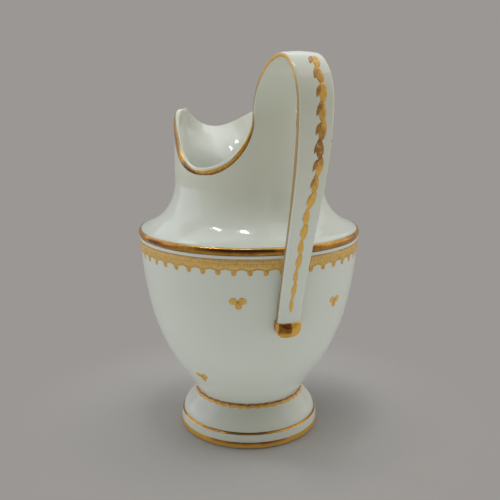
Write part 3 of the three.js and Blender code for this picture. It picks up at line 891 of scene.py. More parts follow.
def sheet(p, q):
    """Point in mm of the sheet's middle at p across and q along. Up to ROOT, q is the height on the neck."""
    on_strap = (q > ROOT) & (np.abs(p) < STRAP_LIMIT)
    z = np.where(on_strap, ROOT, q)
    turn = p / MIDDLE
    r = neck_middle(np.degrees(turn), z)
    neck = np.stack([r * np.cos(turn), r * np.sin(turn), z], axis=-1)
    s = np.maximum(q - ROOT, 0)
    x, h, dx, dz = on_way(s)
    roll = strap_roll(s)
    bow = (1 - np.cos(roll * p)) / roll
    strap = np.stack([x - dz * bow, np.sin(roll * p) / roll, h + dx * bow], axis=-1)
    return np.where(on_strap[..., None], strap, neck)


def sheet_normal(p, q):
    """Towards the outside of the neck, which is the underside of the strap."""
    across = sheet(p + NUDGE, q) - sheet(p - NUDGE, q)
    along = sheet(p, q + NUDGE) - sheet(p, q - NUDGE)
    return unit(np.cross(across, along))


print("sheet at the root:", sheet(np.array(0.0), np.array(ROOT)).round(2))

# %% [markdown]
# ### Columns from the edge inward
# The edge starts at the strap's lower end, runs up and over the arch, down along the tongue and round the
# rim to the lip. At each station a column leaves the edge square to it. On the strap and the tongue it ends
# on the middle line; further on it ends on the circle where the neck begins to widen. Only one half is
# worked out, because the jug is even on both sides.

# %% Stations and columns
CORNER_ANGLE = 33.0                   # the column of this rim angle ends where middle line and circle meet
SLANT_ANGLE, LAG_ANGLE = 75.0, 100.0  # up to these rim angles columns end aslant, and nearer to the handle
STRAP_STATIONS, RIM_STATIONS = 340, 150
SQUARE_BELOW = 6.0                    # this far below the tongue's top columns leave the edge square to it


def edge_stations():
    s = np.concatenate([[WAY_LENGTH + SLIP_DEPTH], np.linspace(WAY_LENGTH, 0, STRAP_STATIONS)])
    inside = np.minimum(s, WAY_LENGTH)
    roll = strap_roll(inside)
    strap = np.stack([np.arcsin(roll * strap_half(inside)) / roll, ROOT + s], axis=1)
    rim = np.stack([np.radians(RIM[:, 0]) * MIDDLE, RIM[:, 1]], axis=1)
    run = run_length(sheet(*rim.T))
    even = np.linspace(0, run[-1], RIM_STATIONS)
    return strap, np.stack([np.interp(even, run, row) for row in rim.T], axis=1)


STRAP_EDGE, RIM_EDGE = edge_stations()
EDGE = np.concatenate([STRAP_EDGE, RIM_EDGE])
STATIONS = np.arange(len(EDGE))
RIM_ANGLE = np.degrees(EDGE[:, 0] / MIDDLE)
NECK_FIRST = len(STRAP_EDGE)          # station at the top of the tongue
STRAP_LAST = NECK_FIRST - 1           # station at the root of the strap


def inward():
    """Direction of each column at the edge, in the pattern."""
    way = unit(np.gradient(EDGE, axis=0))
    square = np.stack([way[:, 1], -way[:, 0]], axis=1)
    level = np.array([-1.0, 0.0])
    share = smoothstep(TONGUE_TOP - EDGE[:, 1], 0, SQUARE_BELOW)
    share[:NECK_FIRST] = 0
    share[RIM_ANGLE > RIM_LOW_ANGLE] = 1
    mixed = between(level, square, share[:, None])
    mixed[-1] = (0, -1)
    return unit(mixed)


def column_ends():
    """Where each column ends, and the direction from there back into the column."""
    ends = np.zeros_like(EDGE)
    back = np.zeros_like(EDGE)
    corner = NECK_FIRST + int(np.argmin(np.abs(RIM_ANGLE[NECK_FIRST:] - CORNER_ANGLE)))
    for i in range(len(EDGE)):
        if i < NECK_FIRST:
            ends[i], back[i] = (0, EDGE[i, 1]), (1, 0)
        elif i < corner:
            share = (i - NECK_FIRST) / (corner - NECK_FIRST)
            ends[i] = (0, between(TONGUE_TOP, NECK_BASE, share))
            back[i] = (1, max(share - 0.5, 0) * 2)
        else:
            lag = EDGE[corner, 0] * (1 - smoothstep(RIM_ANGLE[i], RIM_ANGLE[corner], LAG_ANGLE))
            ends[i], back[i] = (EDGE[i, 0] - lag, NECK_BASE), (0, 1)
    ends[corner, 0] = 0
    ends[-1, 0] = math.pi * MIDDLE
    back[corner:, 0] = 1 - smoothstep(RIM_ANGLE[corner:], RIM_ANGLE[corner], SLANT_ANGLE)
    return ends, unit(back), corner


INWARD = inward()
ENDS, BACK, CORNER = column_ends()
print("stations", len(EDGE), "corner at", CORNER)

# %% Columns and skin
RIM_WALL = 2.7
STRAP_ROUNDING, RIM_ROUNDING = 1.15, 1.40
SQUARENESS = 2 / 2.3                  # a little squarer than a half round
COLUMN_PULL = 0.38                    # how far a column keeps its first and last direction
FIRST_REACH = 2.6                     # on the rim a column soon turns downward, so that no two cross
SOON_STATIONS = 30                    # stations after the corner by which it does
HAIR = 1e-6                           # allowance for rounding in comparisons
STRAP_RUN = np.clip(EDGE[:, 1] - ROOT, 0, WAY_LENGTH)
ON_STRAP = STATIONS < NECK_FIRST
TO_RIM = smoothstep(STATIONS, NECK_FIRST, CORNER)
THICK = np.where(ON_STRAP, strap_thick(STRAP_RUN), between(NECK_WALL, RIM_WALL, TO_RIM))
CROWN = np.where(ON_STRAP, strap_crown(STRAP_RUN), 0.0)
ROUNDING = np.where(ON_STRAP, STRAP_ROUNDING, between(STRAP_ROUNDING, RIM_ROUNDING, TO_RIM))


def columns():
    """Fine points of every column in the pattern, with their distance from the edge in mm."""
    t = np.linspace(0, 1, 161)[None, :, None]
    reach = COLUMN_PULL * np.linalg.norm(ENDS - EDGE, axis=1)[:, None]
    turn_soon = smoothstep(STATIONS, CORNER, CORNER + SOON_STATIONS)[:, None]
    start = between(reach, np.minimum(reach, FIRST_REACH), turn_soon)
    corners = (EDGE, EDGE + INWARD * start, ENDS + BACK * reach, ENDS)
    lines = cubic(*(k[:, None, :] for k in corners), t)
    return lines, run_length(sheet(lines[..., 0], lines[..., 1]))


LINES, DEPTHS = columns()


def skin(cover, rows=slice(None)):
    """Points of the skin. cover is 0 on the edge; it goes to 1, or -1, where the rounding ends, and from
    there in mm. Positive is the outside of the neck and the underside of the strap."""
    index = STATIONS[rows]
    amount = np.abs(cover)
    turn = np.minimum(amount, 1) * np.pi / 2
    rounding = ROUNDING[index][:, None]
    depth = rounding * (1 - np.cos(turn) ** SQUARENESS) + np.maximum(amount - 1, 0)
    share = np.sin(turn) ** SQUARENESS
    p, q = (np.stack([np.interp(depth[k], DEPTHS[i], LINES[i, :, axis]) for k, i in enumerate(index)])
            for axis in (0, 1))
    p = np.where(q > TONGUE_TOP - HAIR, np.maximum(p, 0), p)
    crown = CROWN[index][:, None]
    half = (THICK[index][:, None] - crown) / 2 * share
    arch = crown * (1 - (p / EDGE[index, 0][:, None]) ** 2)
    offset = np.where(cover >= 0, half, -half - np.where(amount > 0, arch, 0)) + crown / 2
    return sheet(p, q) + sheet_normal(p, q) * offset[..., None]


print("deepest column", round(DEPTHS.max(), 1), "mm")

# %% [markdown]
# ### Cutting the skin into neck, slips and strap
# The skin is closed round the edge, mirrored and carried on below over the hollow curve of the shoulder.
# Its normals are taken while it is still whole. Then it is cut at the joints, each cut gets a flat face,
# and every piece keeps the normals of the whole, so that no joint shows in the glaze. Inside the neck the
# points carry where painted light, a whiter tint, brightens the hollow.

# %% The whole skin
EDGE_ROWS = np.array([0, 0.14, 0.28, 0.42, 0.56, 0.7, 0.85, 1.0])
INNER_ROWS = np.linspace(0, 1, 17)[1:]
COLLAR = [(53.0, z) for z in (103.2, 102.2, 101.2, COLLAR_BASE)]
SEAT = [(49.3, 101.6), (50.5, 100.95), (50.8, COLLAR_BASE)]
# The painted light inside the neck, a whiter tint: heights where it begins, and where it starts to fade below
# the rim.
WHITE_FROM, WHITE_FULL, WHITE_TO, WHITE_FADE = 106, 120, 132, 15
WHITE_LIFT = 8                        # how much further up it goes on the spout's side
WHITE_SPOUT = (80, 105)               # degrees from the handle between which it climbs


def shoulder_rows():
    """The hollow curve below the neck and the collar: outside and inside, from above to below."""
    outside, _ = bend(*CAVETTO, 28, 1.0, 0.0)
    inside = leftward(*bend(*CAVETTO, 20, 1.0, 0.16), NECK_WALL)
    return [*outside[1:], *COLLAR], [*inside[1:], *SEAT]


def below_column(profile, station):
    """A profile of (radius, height) that goes on from a column's end. Before the corner there is none."""
    turn = ENDS[station, 0] / MIDDLE
    return [(r * math.cos(turn), r * math.sin(turn), z) for r, z in profile if station >= CORNER]


def half_skin():
    """Points of one half, and for every station the numbers of its outside and inside points."""
    deep = (DEPTHS[:, -1] - ROUNDING)[:, None] * INNER_ROWS
    cover = np.concatenate([np.tile(EDGE_ROWS, (len(EDGE), 1)), 1 + deep], axis=1)
    outside, inside = skin(cover), skin(-cover)[:, 1:]
    outside[:CORNER + 1, -1, 1] = 0
    inside[:CORNER + 1, -1, 1] = 0
    outer_low, inner_low = shoulder_rows()
    points, out_rows, in_rows = [], [], []
    for i in STATIONS:
        start = len(points)
        points += [*outside[i], *below_column(outer_low, i)]
        middle = len(points)
        points += [*inside[i], *below_column(inner_low, i)]
        out_rows.append(list(range(start, middle)))
        in_rows.append([start, *range(middle, len(points))])
    points = np.array(points)
    points[out_rows[-1] + in_rows[-1], 1] = 0
    return points, out_rows, in_rows


SKIN, OUT_ROWS, IN_ROWS = half_skin()


def paint_inside_light():
    """1 where painted light whitens the neck's hollow, fading to 0 towards the rim and the bowl."""
    share = np.zeros(len(SKIN))
    top = WHITE_TO + WHITE_LIFT * smoothstep(RIM_ANGLE, *WHITE_SPOUT)
    for i in range(NECK_FIRST, len(EDGE)):
        row = IN_ROWS[i][len(EDGE_ROWS):]
        z = SKIN[row, 2]
        fade = 1 - smoothstep(z, top[i], top[i] + WHITE_FADE)
        share[row] = smoothstep(z, WHITE_FROM, WHITE_FULL) * fade
    return share


INSIDE_LIGHT_SHARE = paint_inside_light()
print("skin points of one half:", len(SKIN))


# %% Neck, slips and strap
def skin_faces(first, last):
    """Faces between two stations."""
    faces = []
    for i in range(first, last):
        for rows, turned_round in ((OUT_ROWS, False), (IN_ROWS, True)):
            here, there = rows[i], rows[i + 1]
            for j in range(min(len(here), len(there)) - 1):
                face = (here[j], here[j + 1], there[j + 1], there[j])
                faces.append(face[::-1] if turned_round else face)
        if i >= CORNER:
            faces.append((OUT_ROWS[i][-1], IN_ROWS[i][-1], IN_ROWS[i + 1][-1], OUT_ROWS[i + 1][-1]))
    return faces


def cut_face(station):
    """The flat face of a cut, as quads between outside and inside."""
    outer, inner = OUT_ROWS[station], IN_ROWS[station]
    return [(outer[j], outer[j + 1], inner[j + 1], inner[j]) for j in range(len(outer) - 1)]


def with_mirror(points, faces):
    """Adds the other half of a form that is even on both sides."""
    mirrored = [tuple(len(points) + k for k in face[::-1]) for face in faces]
    return np.concatenate([points, points * (1, -1, 1)]), faces + mirrored


def both_halves(name, faces):
    used = sorted({k for face in faces for k in face})
    number = {k: n for n, k in enumerate(used)}
    faces = [tuple(dict.fromkeys(number[k] for k in face)) for face in faces]
    # inside carries the painted light of the neck's hollow.
    return mesh_of(name, *with_mirror(SKIN[used], faces), inside=np.tile(INSIDE_LIGHT_SHARE[used], 2))


def whole_normals():
    """The normals of the whole skin, and a tree that finds their points."""
    whole = both_halves("whole_sheet", skin_faces(0, len(EDGE) - 1))
    tree = KDTree(len(whole.vertices))
    for vertex in whole.vertices:
        tree.insert(vertex.co, vertex.index)
    tree.balance()
    normals = [vertex.normal.copy() for vertex in whole.vertices]
    bpy.data.meshes.remove(whole)
    return tree, normals


WHOLE_TREE, WHOLE_NORMALS = whole_normals()


def sheet_piece(name, first, last, cuts, slot, node):
    """The part of the skin between two stations, closed where it is cut."""
    faces = skin_faces(first, last) + [face for station in cuts for face in cut_face(station)]
    mesh = both_halves(name, faces)
    normals = [WHOLE_NORMALS[WHOLE_TREE.find(v.co)[1]] for v in mesh.vertices]
    mesh.normals_split_custom_set_from_vertices(normals)
    return add_piece(name, mesh, slot, node, material=PORCELAIN)


sheet_piece("neck_body", NECK_FIRST, len(EDGE) - 1, [NECK_FIRST], "porcelain", "neck")
strap = sheet_piece("strap_body", 1, STRAP_LAST, [1, STRAP_LAST], "porcelain", "handle_strap")
sheet_piece("root_slip", STRAP_LAST, NECK_FIRST, [STRAP_LAST, NECK_FIRST], "fired_slip", "handle_root_slip")
sheet_piece("end_slip", 0, 1, [0, 1], "fired_slip", "handle_end_slip")

# %% [markdown]
# ## Gold along the edge
# A broad band lies on the outside of the rim. In the dip it leaves the crown white; towards the tongue, and
# where the rim climbs to the spout, it turns a little over it. It narrows as it climbs, and from the tongue
# it goes on as a line along both sides of the strap. It could be a curve with a bevel, but then it would
# stand off the rounded edge. Here it is a strip of the same skin, raised by the thickness of the leaf. Its
# points carry painted reflection: a painted highlight along the upper edge, a darker lower edge, a darker
# spot in the dip, and darker gold on the spout.

# %% A strip of gold on the skin
STRIP_SHARES = np.linspace(0, 1, 19)  # places across a strip of gold, from the inner to the outer edge


def gold_strip(stations, inner, outer, joined):
    """A thin closed strip on the skin, from cover -inner to cover outer. Where it is joined to its mirror
    image at the last station, that end stays open."""
    inner, outer = inner[stations][:, None], outer[stations][:, None]
    place = skin(-inner + (inner + outer) * STRIP_SHARES, stations)
    normal = unit(np.cross(np.gradient(place, axis=0), np.gradient(place, axis=1)))
    p, q = EDGE[stations].T
    if np.sum(normal[:, -1] * sheet_normal(p, q)) < 0:
        normal = -normal
    front = place + normal * leaf_rise(STRIP_SHARES)[None, :, None]
    back = place - normal * LEAF_SINK
    if joined:
        front[-1, :, 1] = 0
        back[-1, :, 1] = 0
    rows, wide = place.shape[:2]
    over = np.arange(rows * wide).reshape(rows, wide)
    under = over + rows * wide
    faces = []
    for i in range(rows - 1):
        for j in range(wide - 1):
            faces.append((over[i, j], over[i, j + 1], over[i + 1, j + 1], over[i + 1, j]))
            faces.append((under[i, j], under[i + 1, j], under[i + 1, j + 1], under[i, j + 1]))
        for j in (0, wide - 1):
            faces.append((over[i, j], over[i + 1, j], under[i + 1, j], under[i, j]))
    for i in (0,) if joined else (0, rows - 1):
        for j in range(wide - 1):
            faces.append((over[i, j], over[i, j + 1], under[i, j + 1], under[i, j]))
    return np.concatenate([front.reshape(-1, 3), back.reshape(-1, 3)]), faces


print("strip of", len(STRIP_SHARES), "points across")

# %% Rim band and strap edges
RIM_BAND = 4.5                        # width of the rim's gold outside, from the edge, in the dip
SPOUT_NARROWING = 0.74                # share of that width that is lost on the way to the spout
LINE_LAST = NECK_FIRST - 9            # station where the strap's line begins to widen into the rim's band
OVER_FULL, BAND_FULL = CORNER + 6, CORNER + 26  # stations where the band's inner and outer edge are full
# Along the rim, places are in mm round the neck from the handle's middle.
NARROWS, DARKENS = (47, 62), (44, 54)
TURN_OVER = {14: -0.5, 20: -1.0, 34: -0.9, 42: -0.3, 48: 0.2, 55: 0.2, 62: 0.0, 68: -0.3}
BROWN_SPOT = {35: 0, 39: 1, 45: 1, 50: 0}
# Painted reflection across the rim's gold, from the crown down: a painted highlight on the crown in the dip,
# and darker on the spout and in the spot.
TONE_PLACES = [0.0, 0.5, 0.8, 1.0]
DIP_TONES = [0.8, 0.6, -0.2, -0.4]
SPOUT_TONES = [-0.8, -0.6, -0.2, 0.0]
BROWN_TONES = [-0.4, -0.9, -0.9, -0.5]
DIP_DULL, SPOUT_DULL = 0.15, 0.5
DULL_FROM = 143                       # height on the tongue's side where the gold begins to be dull
ARCH_HIGHLIGHT = (166, 178)              # heights on the strap between which its line gets a painted highlight
SHARP_EDGE = math.radians(50)         # gold keeps an edge that is sharper than this
# Shares of the strap's way where its line is wider on the arch, and where it gets thinner.
WIDENS, WIDE_ENDS, THINS = (0.06, 0.16), (0.24, 0.34), (0.55, 0.8)
LINE_COVER, ARCH_GAIN, LINE_LOSS = 0.50, 0.10, 0.20


def gold_edges():
    """How far the gold reaches over the edge and down outside, at each station."""
    u = STRAP_RUN / WAY_LENGTH
    on_arch = smoothstep(u, *WIDENS) * (1 - smoothstep(u, *WIDE_ENDS))
    line = LINE_COVER - LINE_LOSS * smoothstep(u, *THINS) + ARCH_GAIN * on_arch
    over = read_off(TURN_OVER, EDGE[:, 0])
    inner = between(line, over, smoothstep(STATIONS, LINE_LAST, OVER_FULL))
    band = RIM_BAND * (1 - SPOUT_NARROWING * smoothstep(EDGE[:, 0], *NARROWS))
    return inner, between(line, band, smoothstep(STATIONS, LINE_LAST, BAND_FULL))


def rim_band(inner, outer):
    points, faces = with_mirror(*gold_strip(slice(STRAP_LAST, None), inner, outer, True))
    along = EDGE[STRAP_LAST:, :1]
    to_spout = smoothstep(along, *DARKENS) + 0 * STRIP_SHARES
    tones = [np.interp(STRIP_SHARES, TONE_PLACES, row) for row in (DIP_TONES, SPOUT_TONES, BROWN_TONES)]
    # streak holds the painted reflection of the rim band, along it and across it.
    streak = between(between(tones[0], tones[1], to_spout), tones[2], read_off(BROWN_SPOT, along))
    flat = between(DIP_DULL, SPOUT_DULL, to_spout)
    streak, flat = (np.tile(values.ravel(), 4) for values in (streak, flat))
    dull = np.where(points[:, 0] > 0, smoothstep(points[:, 2], DULL_FROM, ROOT), 0)
    mesh = mesh_of("rim_band", points, faces, dull=np.maximum(dull, flat), burnish=streak)
    mesh.set_sharp_from_angle(angle=SHARP_EDGE)
    add_piece("rim_band", mesh, "gilding", "rim_gilding", material=BURNISHED)


def strap_edges(inner, outer):
    points, faces = gold_strip(slice(1, STRAP_LAST + 1), inner, outer, False)
    # top paints a highlight on the line over the arch: brighter and less dull there.
    top = smoothstep(points[:, 2], *ARCH_HIGHLIGHT)
    for side, hand in (("right", 1), ("left", -1)):
        mesh = mesh_of("strap_edge_" + side, points * (1, hand, 1), faces, dull=1 - 0.5 * top, burnish=top)
        mesh.set_sharp_from_angle(angle=SHARP_EDGE)
        add_piece("strap_edge_" + side, mesh, "gilding", "strap_edge_gilding_" + side, material=BURNISHED)


edges = gold_edges()
rim_band(*edges)
strap_edges(*edges)

# %% [markdown]
# ## Pad
# The strap ends on a small cushion of porcelain that is gilded all over: straight above, rounded below. Its
# back is fitted to the bowl. A scaled sphere would miss the straight top, so the outline is drawn first and
# rings of it are stacked from the bowl to the crowned face.

# %% Pad at the strap's end
PAD_WIDTH, PAD_HEIGHT = 11.4, 7.6
PAD_FACE = 2.3                        # from the strap's middle line
PAD_ROUNDING, PAD_CROWN = 1.2, 1.3
PAD_MIDDLE = 3.0                      # depth below the straight top of the outline's widest line
PAD_CENTRE = np.array([0, PAD_MIDDLE + 0.4])
PAD_TOP_POWER, PAD_FOOT_POWER = 2 / 7, 2 / 2.5  # nearly straight above, and round below
PAD_TIP = 0.02                        # size of the smallest ring, as a share of the outline
PAD_GAP = 0.1                         # between the pad's back and the bowl
PAD_SEARCH, PAD_HALVINGS = (-9.0, 2.0), 40  # depths between which the bowl is sought
BACK_RINGS = (PAD_TIP, 0.35, 0.7, 1.0)
PAD_DARK_REFLECTION, PAD_BRIGHT_REFLECTION = -0.3, 0.7     # painted reflection on the left side, darker above and brighter below
# Where it changes: shares of the width from the middle, and of the height from the top.
PAD_RIGHT, PAD_LEFT, PAD_LOW = (-0.02, 0.10), (-0.47, -0.40), (0.55, 0.80)


def pad_outline(count=72):
    turn = np.linspace(0, 2 * np.pi, 721)
    above = np.sin(turn) < 0
    power = np.where(above, PAD_TOP_POWER, PAD_FOOT_POWER)
    tall = np.where(above, PAD_MIDDLE, PAD_HEIGHT - PAD_MIDDLE)
    x = PAD_WIDTH / 2 * np.sign(np.cos(turn)) * np.abs(np.cos(turn)) ** power
    y = PAD_MIDDLE + tall * np.sign(np.sin(turn)) * np.abs(np.sin(turn)) ** power
    run = run_length(np.stack([x, y], axis=1))
    even = np.linspace(0, run[-1], count + 1)[:-1]
    return np.stack([np.interp(even, run, x), np.interp(even, run, y)], axis=1)


def pad_mesh():
    x, z, dx, dz = on_way(np.array(WAY_LENGTH + SLIP_DEPTH))
    corner, down, out = np.array([x, 0, z]), np.array([dx, 0, dz]), np.array([-dz, 0, dx])
    outline = pad_outline()

    def ring(share, depth):
        flat = between(PAD_CENTRE, outline, share)
        return corner + flat[:, :1] * (0, 1, 0) + flat[:, 1:] * down + np.reshape(depth, (-1, 1)) * out

    def ring_on_bowl(share):
        low, high = (np.full(len(outline), depth) for depth in PAD_SEARCH)
        for _ in range(PAD_HALVINGS):
            middle = (low + high) / 2
            spot = ring(share, middle)
            clear = np.hypot(spot[:, 0], spot[:, 1]) > bowl_radius(spot[:, 2]) + PAD_GAP
            low, high = np.where(clear, low, middle), np.where(clear, middle, high)
        return ring(share, high)

    rings = [ring_on_bowl(share) for share in BACK_RINGS]
    for t in np.linspace(0, math.pi / 2, 9):
        edge = 1 - PAD_ROUNDING * (1 - math.cos(t)) / (PAD_WIDTH / 2)
        rings.append(ring(edge, PAD_FACE - PAD_ROUNDING * (1 - math.sin(t))))
    for share in np.linspace(edge, PAD_TIP, 11)[1:]:
        rings.append(ring(share, PAD_FACE + PAD_CROWN * (1 - (share / edge) ** 2)))
    count, last = len(outline), (len(rings) - 1) * len(outline)
    caps = [tuple(range(count)), tuple(range(last, last + count))]
    return mesh_of("pad_body", np.concatenate(rings), ring_faces(len(rings), count) + caps)


def burnish_pad(mesh):
    """Painted reflection: bright gold to the right and below, and a painted dark reflection in the upper left
    corner.
    """
    spots = points_of(mesh)
    across = spots[:, 1] / PAD_WIDTH
    below = (spots[:, 2].max() - spots[:, 2]) / PAD_HEIGHT
    right = smoothstep(across, *PAD_RIGHT)
    low = np.maximum(smoothstep(below, *PAD_LOW), 1 - smoothstep(across, *PAD_LEFT))
    carry(mesh, burnish=between(between(PAD_DARK_REFLECTION, PAD_BRIGHT_REFLECTION, low), 1, right))
    return mesh


add_piece("pad_body", burnish_pad(pad_mesh()), "gilded_porcelain", "handle_pad", material=BURNISHED)

# %% [markdown]
# ## Painted ornament: the brush strokes
# The border, the leaves on the foot, the sprigs and the chain on the strap are repeats of a few strokes. A
# painted image would blur from near, so each stroke is a low closed blob with a few dozen faces, drawn flat:
# x runs round the body, y runs up, and z is the height above the glaze. A stroke carries its own tone.

# %% Strokes and motifs
WASH = 2.0                            # tone of a thin wash of gold
STROKE_EDGE = 0.015                   # height of a stroke's edge over the glaze
STROKE_FLAT, STROKE_PEAK = 0.7, 1.1   # size of the ring at full height, and how much higher the middle is


class Motif:
    """Collects strokes in mm and turns them into one mesh with a tone on every point."""

    def __init__(self):
        self.points, self.faces, self.tones = [], [], []

    def add(self, points, faces, tone):
        start = len(self.points)
        self.points += [tuple(p) for p in points]
        self.faces += [tuple(start + k for k in face) for face in faces]
        self.tones += [tone] * len(points)

    def blob(self, outline, tone, rise=LEAF_RISE):
        """A domed stroke over a closed outline that runs against the clock."""
        ring = np.asarray(outline, dtype=float)
        n, middle = len(ring), ring.mean(axis=0)
        levels = [(1.0, -LEAF_SINK), (1.0, STROKE_EDGE), (STROKE_FLAT, rise)]
        points = [(*between(middle, p, f), z) for f, z in levels for p in ring]
        points += [(*middle, rise * STROKE_PEAK), (*middle, -LEAF_SINK)]
        faces = ring_faces(len(levels), n)
        for j in range(n):
            k = (j + 1) % n
            faces += [(2 * n + j, 2 * n + k, 3 * n), (k, j, 3 * n + 1)]
        self.add(points, faces, tone)

    def line(self, x, upper, lower, tone, rise=LEAF_RISE):
        """A band between two edges. Its ends stay open, because the next repeat goes on from there."""
        points = []
        for a, high, low in np.broadcast(x, upper, lower):
            points += [(a, high, -LEAF_SINK), (a, high, rise), (a, low, rise), (a, low, -LEAF_SINK)]
        self.add(points, ring_faces(len(x), 4), tone)

    def holder(self, name):
        mesh = bpy.data.meshes.new(name)
        mesh.from_pydata([tuple(v * MM for v in p) for p in self.points], [], self.faces)
        carry(mesh, tone=self.tones)
        return put(name, mesh)


def oval(x, y, wide, tall, turn=0.0, count=10):
    angle = np.linspace(0, 2 * np.pi, count + 1)[:-1]
    flat = np.stack([wide * np.cos(angle), tall * np.sin(angle)], axis=1)
    c, s = math.cos(turn), math.sin(turn)
    return flat @ np.array([[c, s], [-s, c]]) + (x, y)


def leaf(start, tip, wide, fullness=0.45):
    """A pointed leaf between two places. Fullness is the share of its length where it is widest."""
    start, tip = np.array(start, dtype=float), np.array(tip, dtype=float)
    way = tip - start
    side = unit(np.array([way[1], -way[0]])) * wide / 2
    shares = np.array([0.12, fullness * 0.55, fullness, (1 + fullness) / 2, 0.92])
    widths = np.array([0.35, 0.8, 1.0, 0.72, 0.25])
    right = [start + way * t + side * w for t, w in zip(shares, widths)]
    left = [start + way * t - side * w for t, w in zip(shares[::-1], widths[::-1])]
    return np.array([start, *right, tip, *left])


print("strokes ready")

# %% [markdown]
# ## Ornament on the body
# The painter goes round the jug and sets one motif after the other. The tree below does the same: it sets
# the motif on each point of a flat row, makes the copies real, and then wraps the flat row onto the body.
# Each point looks inward along a ray, finds the glaze there and lies on it. A projected image would be
# simpler, but these strokes are real geometry and stay sharp from near.


# %% Setting motifs and laying them on the glaze
def shape_of(entry, label):
    """The geometry of an object that is an input of the tree."""
    return entry.node("GeometryNodeObjectInfo", None, {"Object": entry.beside(label)}, "Geometry")


def chance(entry, low, high, seed):
    """A random value for each point or copy."""
    return entry.node("FunctionNodeRandomValue", None, {2: low, 3: high, "Seed": seed}, 1)


def store(entry, shape, name, value, domain="POINT"):
    """Lets points or copies carry a value."""
    settings = {"data_type": "FLOAT", "domain": domain}
    inputs = {"Geometry": shape, "Name": name, "Value": value}
    return entry.node("GeometryNodeStoreNamedAttribute", settings, inputs)


def set_motifs(entry, wear_seed, placing):
    """Sets the motif on every point of the row, with a wear of its own, and makes the copies real."""
    inputs = {"Points": entry, "Instance": shape_of(entry, "Motif"), **placing}
    shape = entry.node("GeometryNodeInstanceOnPoints", None, inputs)
    shape = store(entry, shape, "wear", chance(entry, 0.0, 1.0, wear_seed), "INSTANCE")
    shape = entry.node("GeometryNodeRealizeInstances", None, {"Geometry": shape})
    return shape, entry.node("GeometryNodeInputPosition").split()


def lay_on_glaze(entry, shape, source, way, reach, lift):
    """Moves each point to where its ray meets the body's glaze, raised along the normal there."""
    target = shape_of(entry, "Body")
    inputs = {"Target Geometry": target, "Source Position": source, "Ray Direction": way, "Ray Length": reach}
    ray = entry.node("GeometryNodeRaycast", None, inputs)
    raised = entry.vector("SCALE", {0: ray.beside("Hit Normal"), "Scale": lift})
    end_tree(entry, shape, entry.vector("ADD", {0: ray.beside("Hit Position"), 1: raised}))


print("ornament helpers ready")

# %% The wrapping tree
RAY_START, RAY_REACH = 0.2, 0.3       # rays start well outside the jug, in metres
TURN_JITTER = 1.5                     # how much more a motif's turn varies than its size


def wrapping_tree():
    sockets = {"Motif": "Object", "Body": "Object", "Radius": "Float", "Seed": "Int",
               "Jitter": "Float", "Material": "Material"}
    tree, entry, keys = new_tree("wrapped_ornament", sockets)
    jitter, seed = entry.beside("Jitter"), entry.beside("Seed")
    size = chance(entry, 1 - jitter, 1 + jitter, seed)
    turn = chance(entry, 0 - jitter, jitter, seed + 1) * TURN_JITTER
    shape, flat = set_motifs(entry, seed + 2, {"Rotation": entry.join(z=turn), "Scale": size})
    angle = flat / entry.beside("Radius")
    cosine, sine = entry.math("COSINE", angle), entry.math("SINE", angle)
    source = entry.join(cosine * RAY_START, sine * RAY_START, flat.beside("Y"))
    lay_on_glaze(entry, shape, source, entry.join(cosine * -1.0, sine * -1.0), RAY_REACH, flat.beside("Z"))
    return tree, keys


WRAPPING = wrapping_tree()


def row_of(name, points):
    seed = bpy.data.meshes.new(name + "_row")
    seed.from_pydata([(x * MM, y * MM, 0) for x, y in points], [], [])
    return seed


def wrapped(name, motif, points, body, radius, *nodes, jitter, seed):
    """Motifs on a body, in a row that is drawn flat: along a circle of this radius, and height in mm."""
    holder = motif.holder(name + "_motif")
    values = {"Motif": holder, "Body": body, "Radius": radius * MM, "Seed": seed,
              "Jitter": jitter, "Material": PAINTED}
    mesh = grow(name, row_of(name, points), WRAPPING, values)
    bpy.data.objects.remove(holder)
    return add_piece(name, mesh, "gilding", *nodes)


print("wrapping tree:", len(WRAPPING[0].nodes), "nodes")

# %% [markdown]
# ### Border, foot leaves and sprigs
# Under the shoulder runs a lace border: a straight line above, two rows of slanting strokes on a thin wash
# with a line between them, a wavy line and a drop below each wave. A broken row of leaves lies on the foot
# below the waist. Small three-lobed sprigs are scattered over the bowl in two rows, as such jugs have them.

# %% Border, leaves and sprigs
BORDER_RADIUS, BORDER_REPEATS = 53.7, 48
BORDER_STROKES = 5                    # slanting strokes of each row in one repeat
LEAF_RADIUS, LEAF_REPEATS, LEAF_HEIGHT = 27.2, 40, 18.75
# Radius of the bowl there, seed, and the sprigs' places: degrees from the handle and height.
SPRIG_ROWS = {
    "upper_sprigs": (51.3, 3, [(-24.6, 78.9), (31.2, 74.4), (107, 77.0), (183, 76.5), (-101, 77.5)]),
    "lower_sprigs": (38.0, 8, [(-57, 35.0), (63, 35.4), (123, 34.8), (183, 35.2), (-117, 35.0)]),
}


def repeat_pitch(radius, repeats):
    return 2 * math.pi * radius / repeats


def border_motif(pitch):
    x = np.linspace(0, pitch, 17)
    wave = np.cos(2 * np.pi * x / pitch)
    motif = Motif()
    motif.line(x, 98.7, 98.2, 0.45)
    motif.line(x, 98.1, 94.0 + 0.45 * wave, WASH, 0.02)
    motif.line(x, 94.1 + 0.45 * wave, 93.55 + 0.5 * wave, 0.85)
    motif.line(x, 96.65, 96.35, 0.7, 0.04)
    for k in range(BORDER_STROKES):
        middle = pitch * (k + 0.5) / BORDER_STROKES
        motif.blob(leaf((middle - 0.4, 94.7), (middle + 0.5, 96.5), 0.9), 1.0 if k % 2 else 0.85)
        motif.blob(leaf((middle + 0.4, 96.6), (middle - 0.5, 98.0), 0.8), 0.85 if k % 2 else 1.0)
    motif.blob(oval(pitch / 2, 92.6, 1.25, 1.4), 0.8)
    return motif


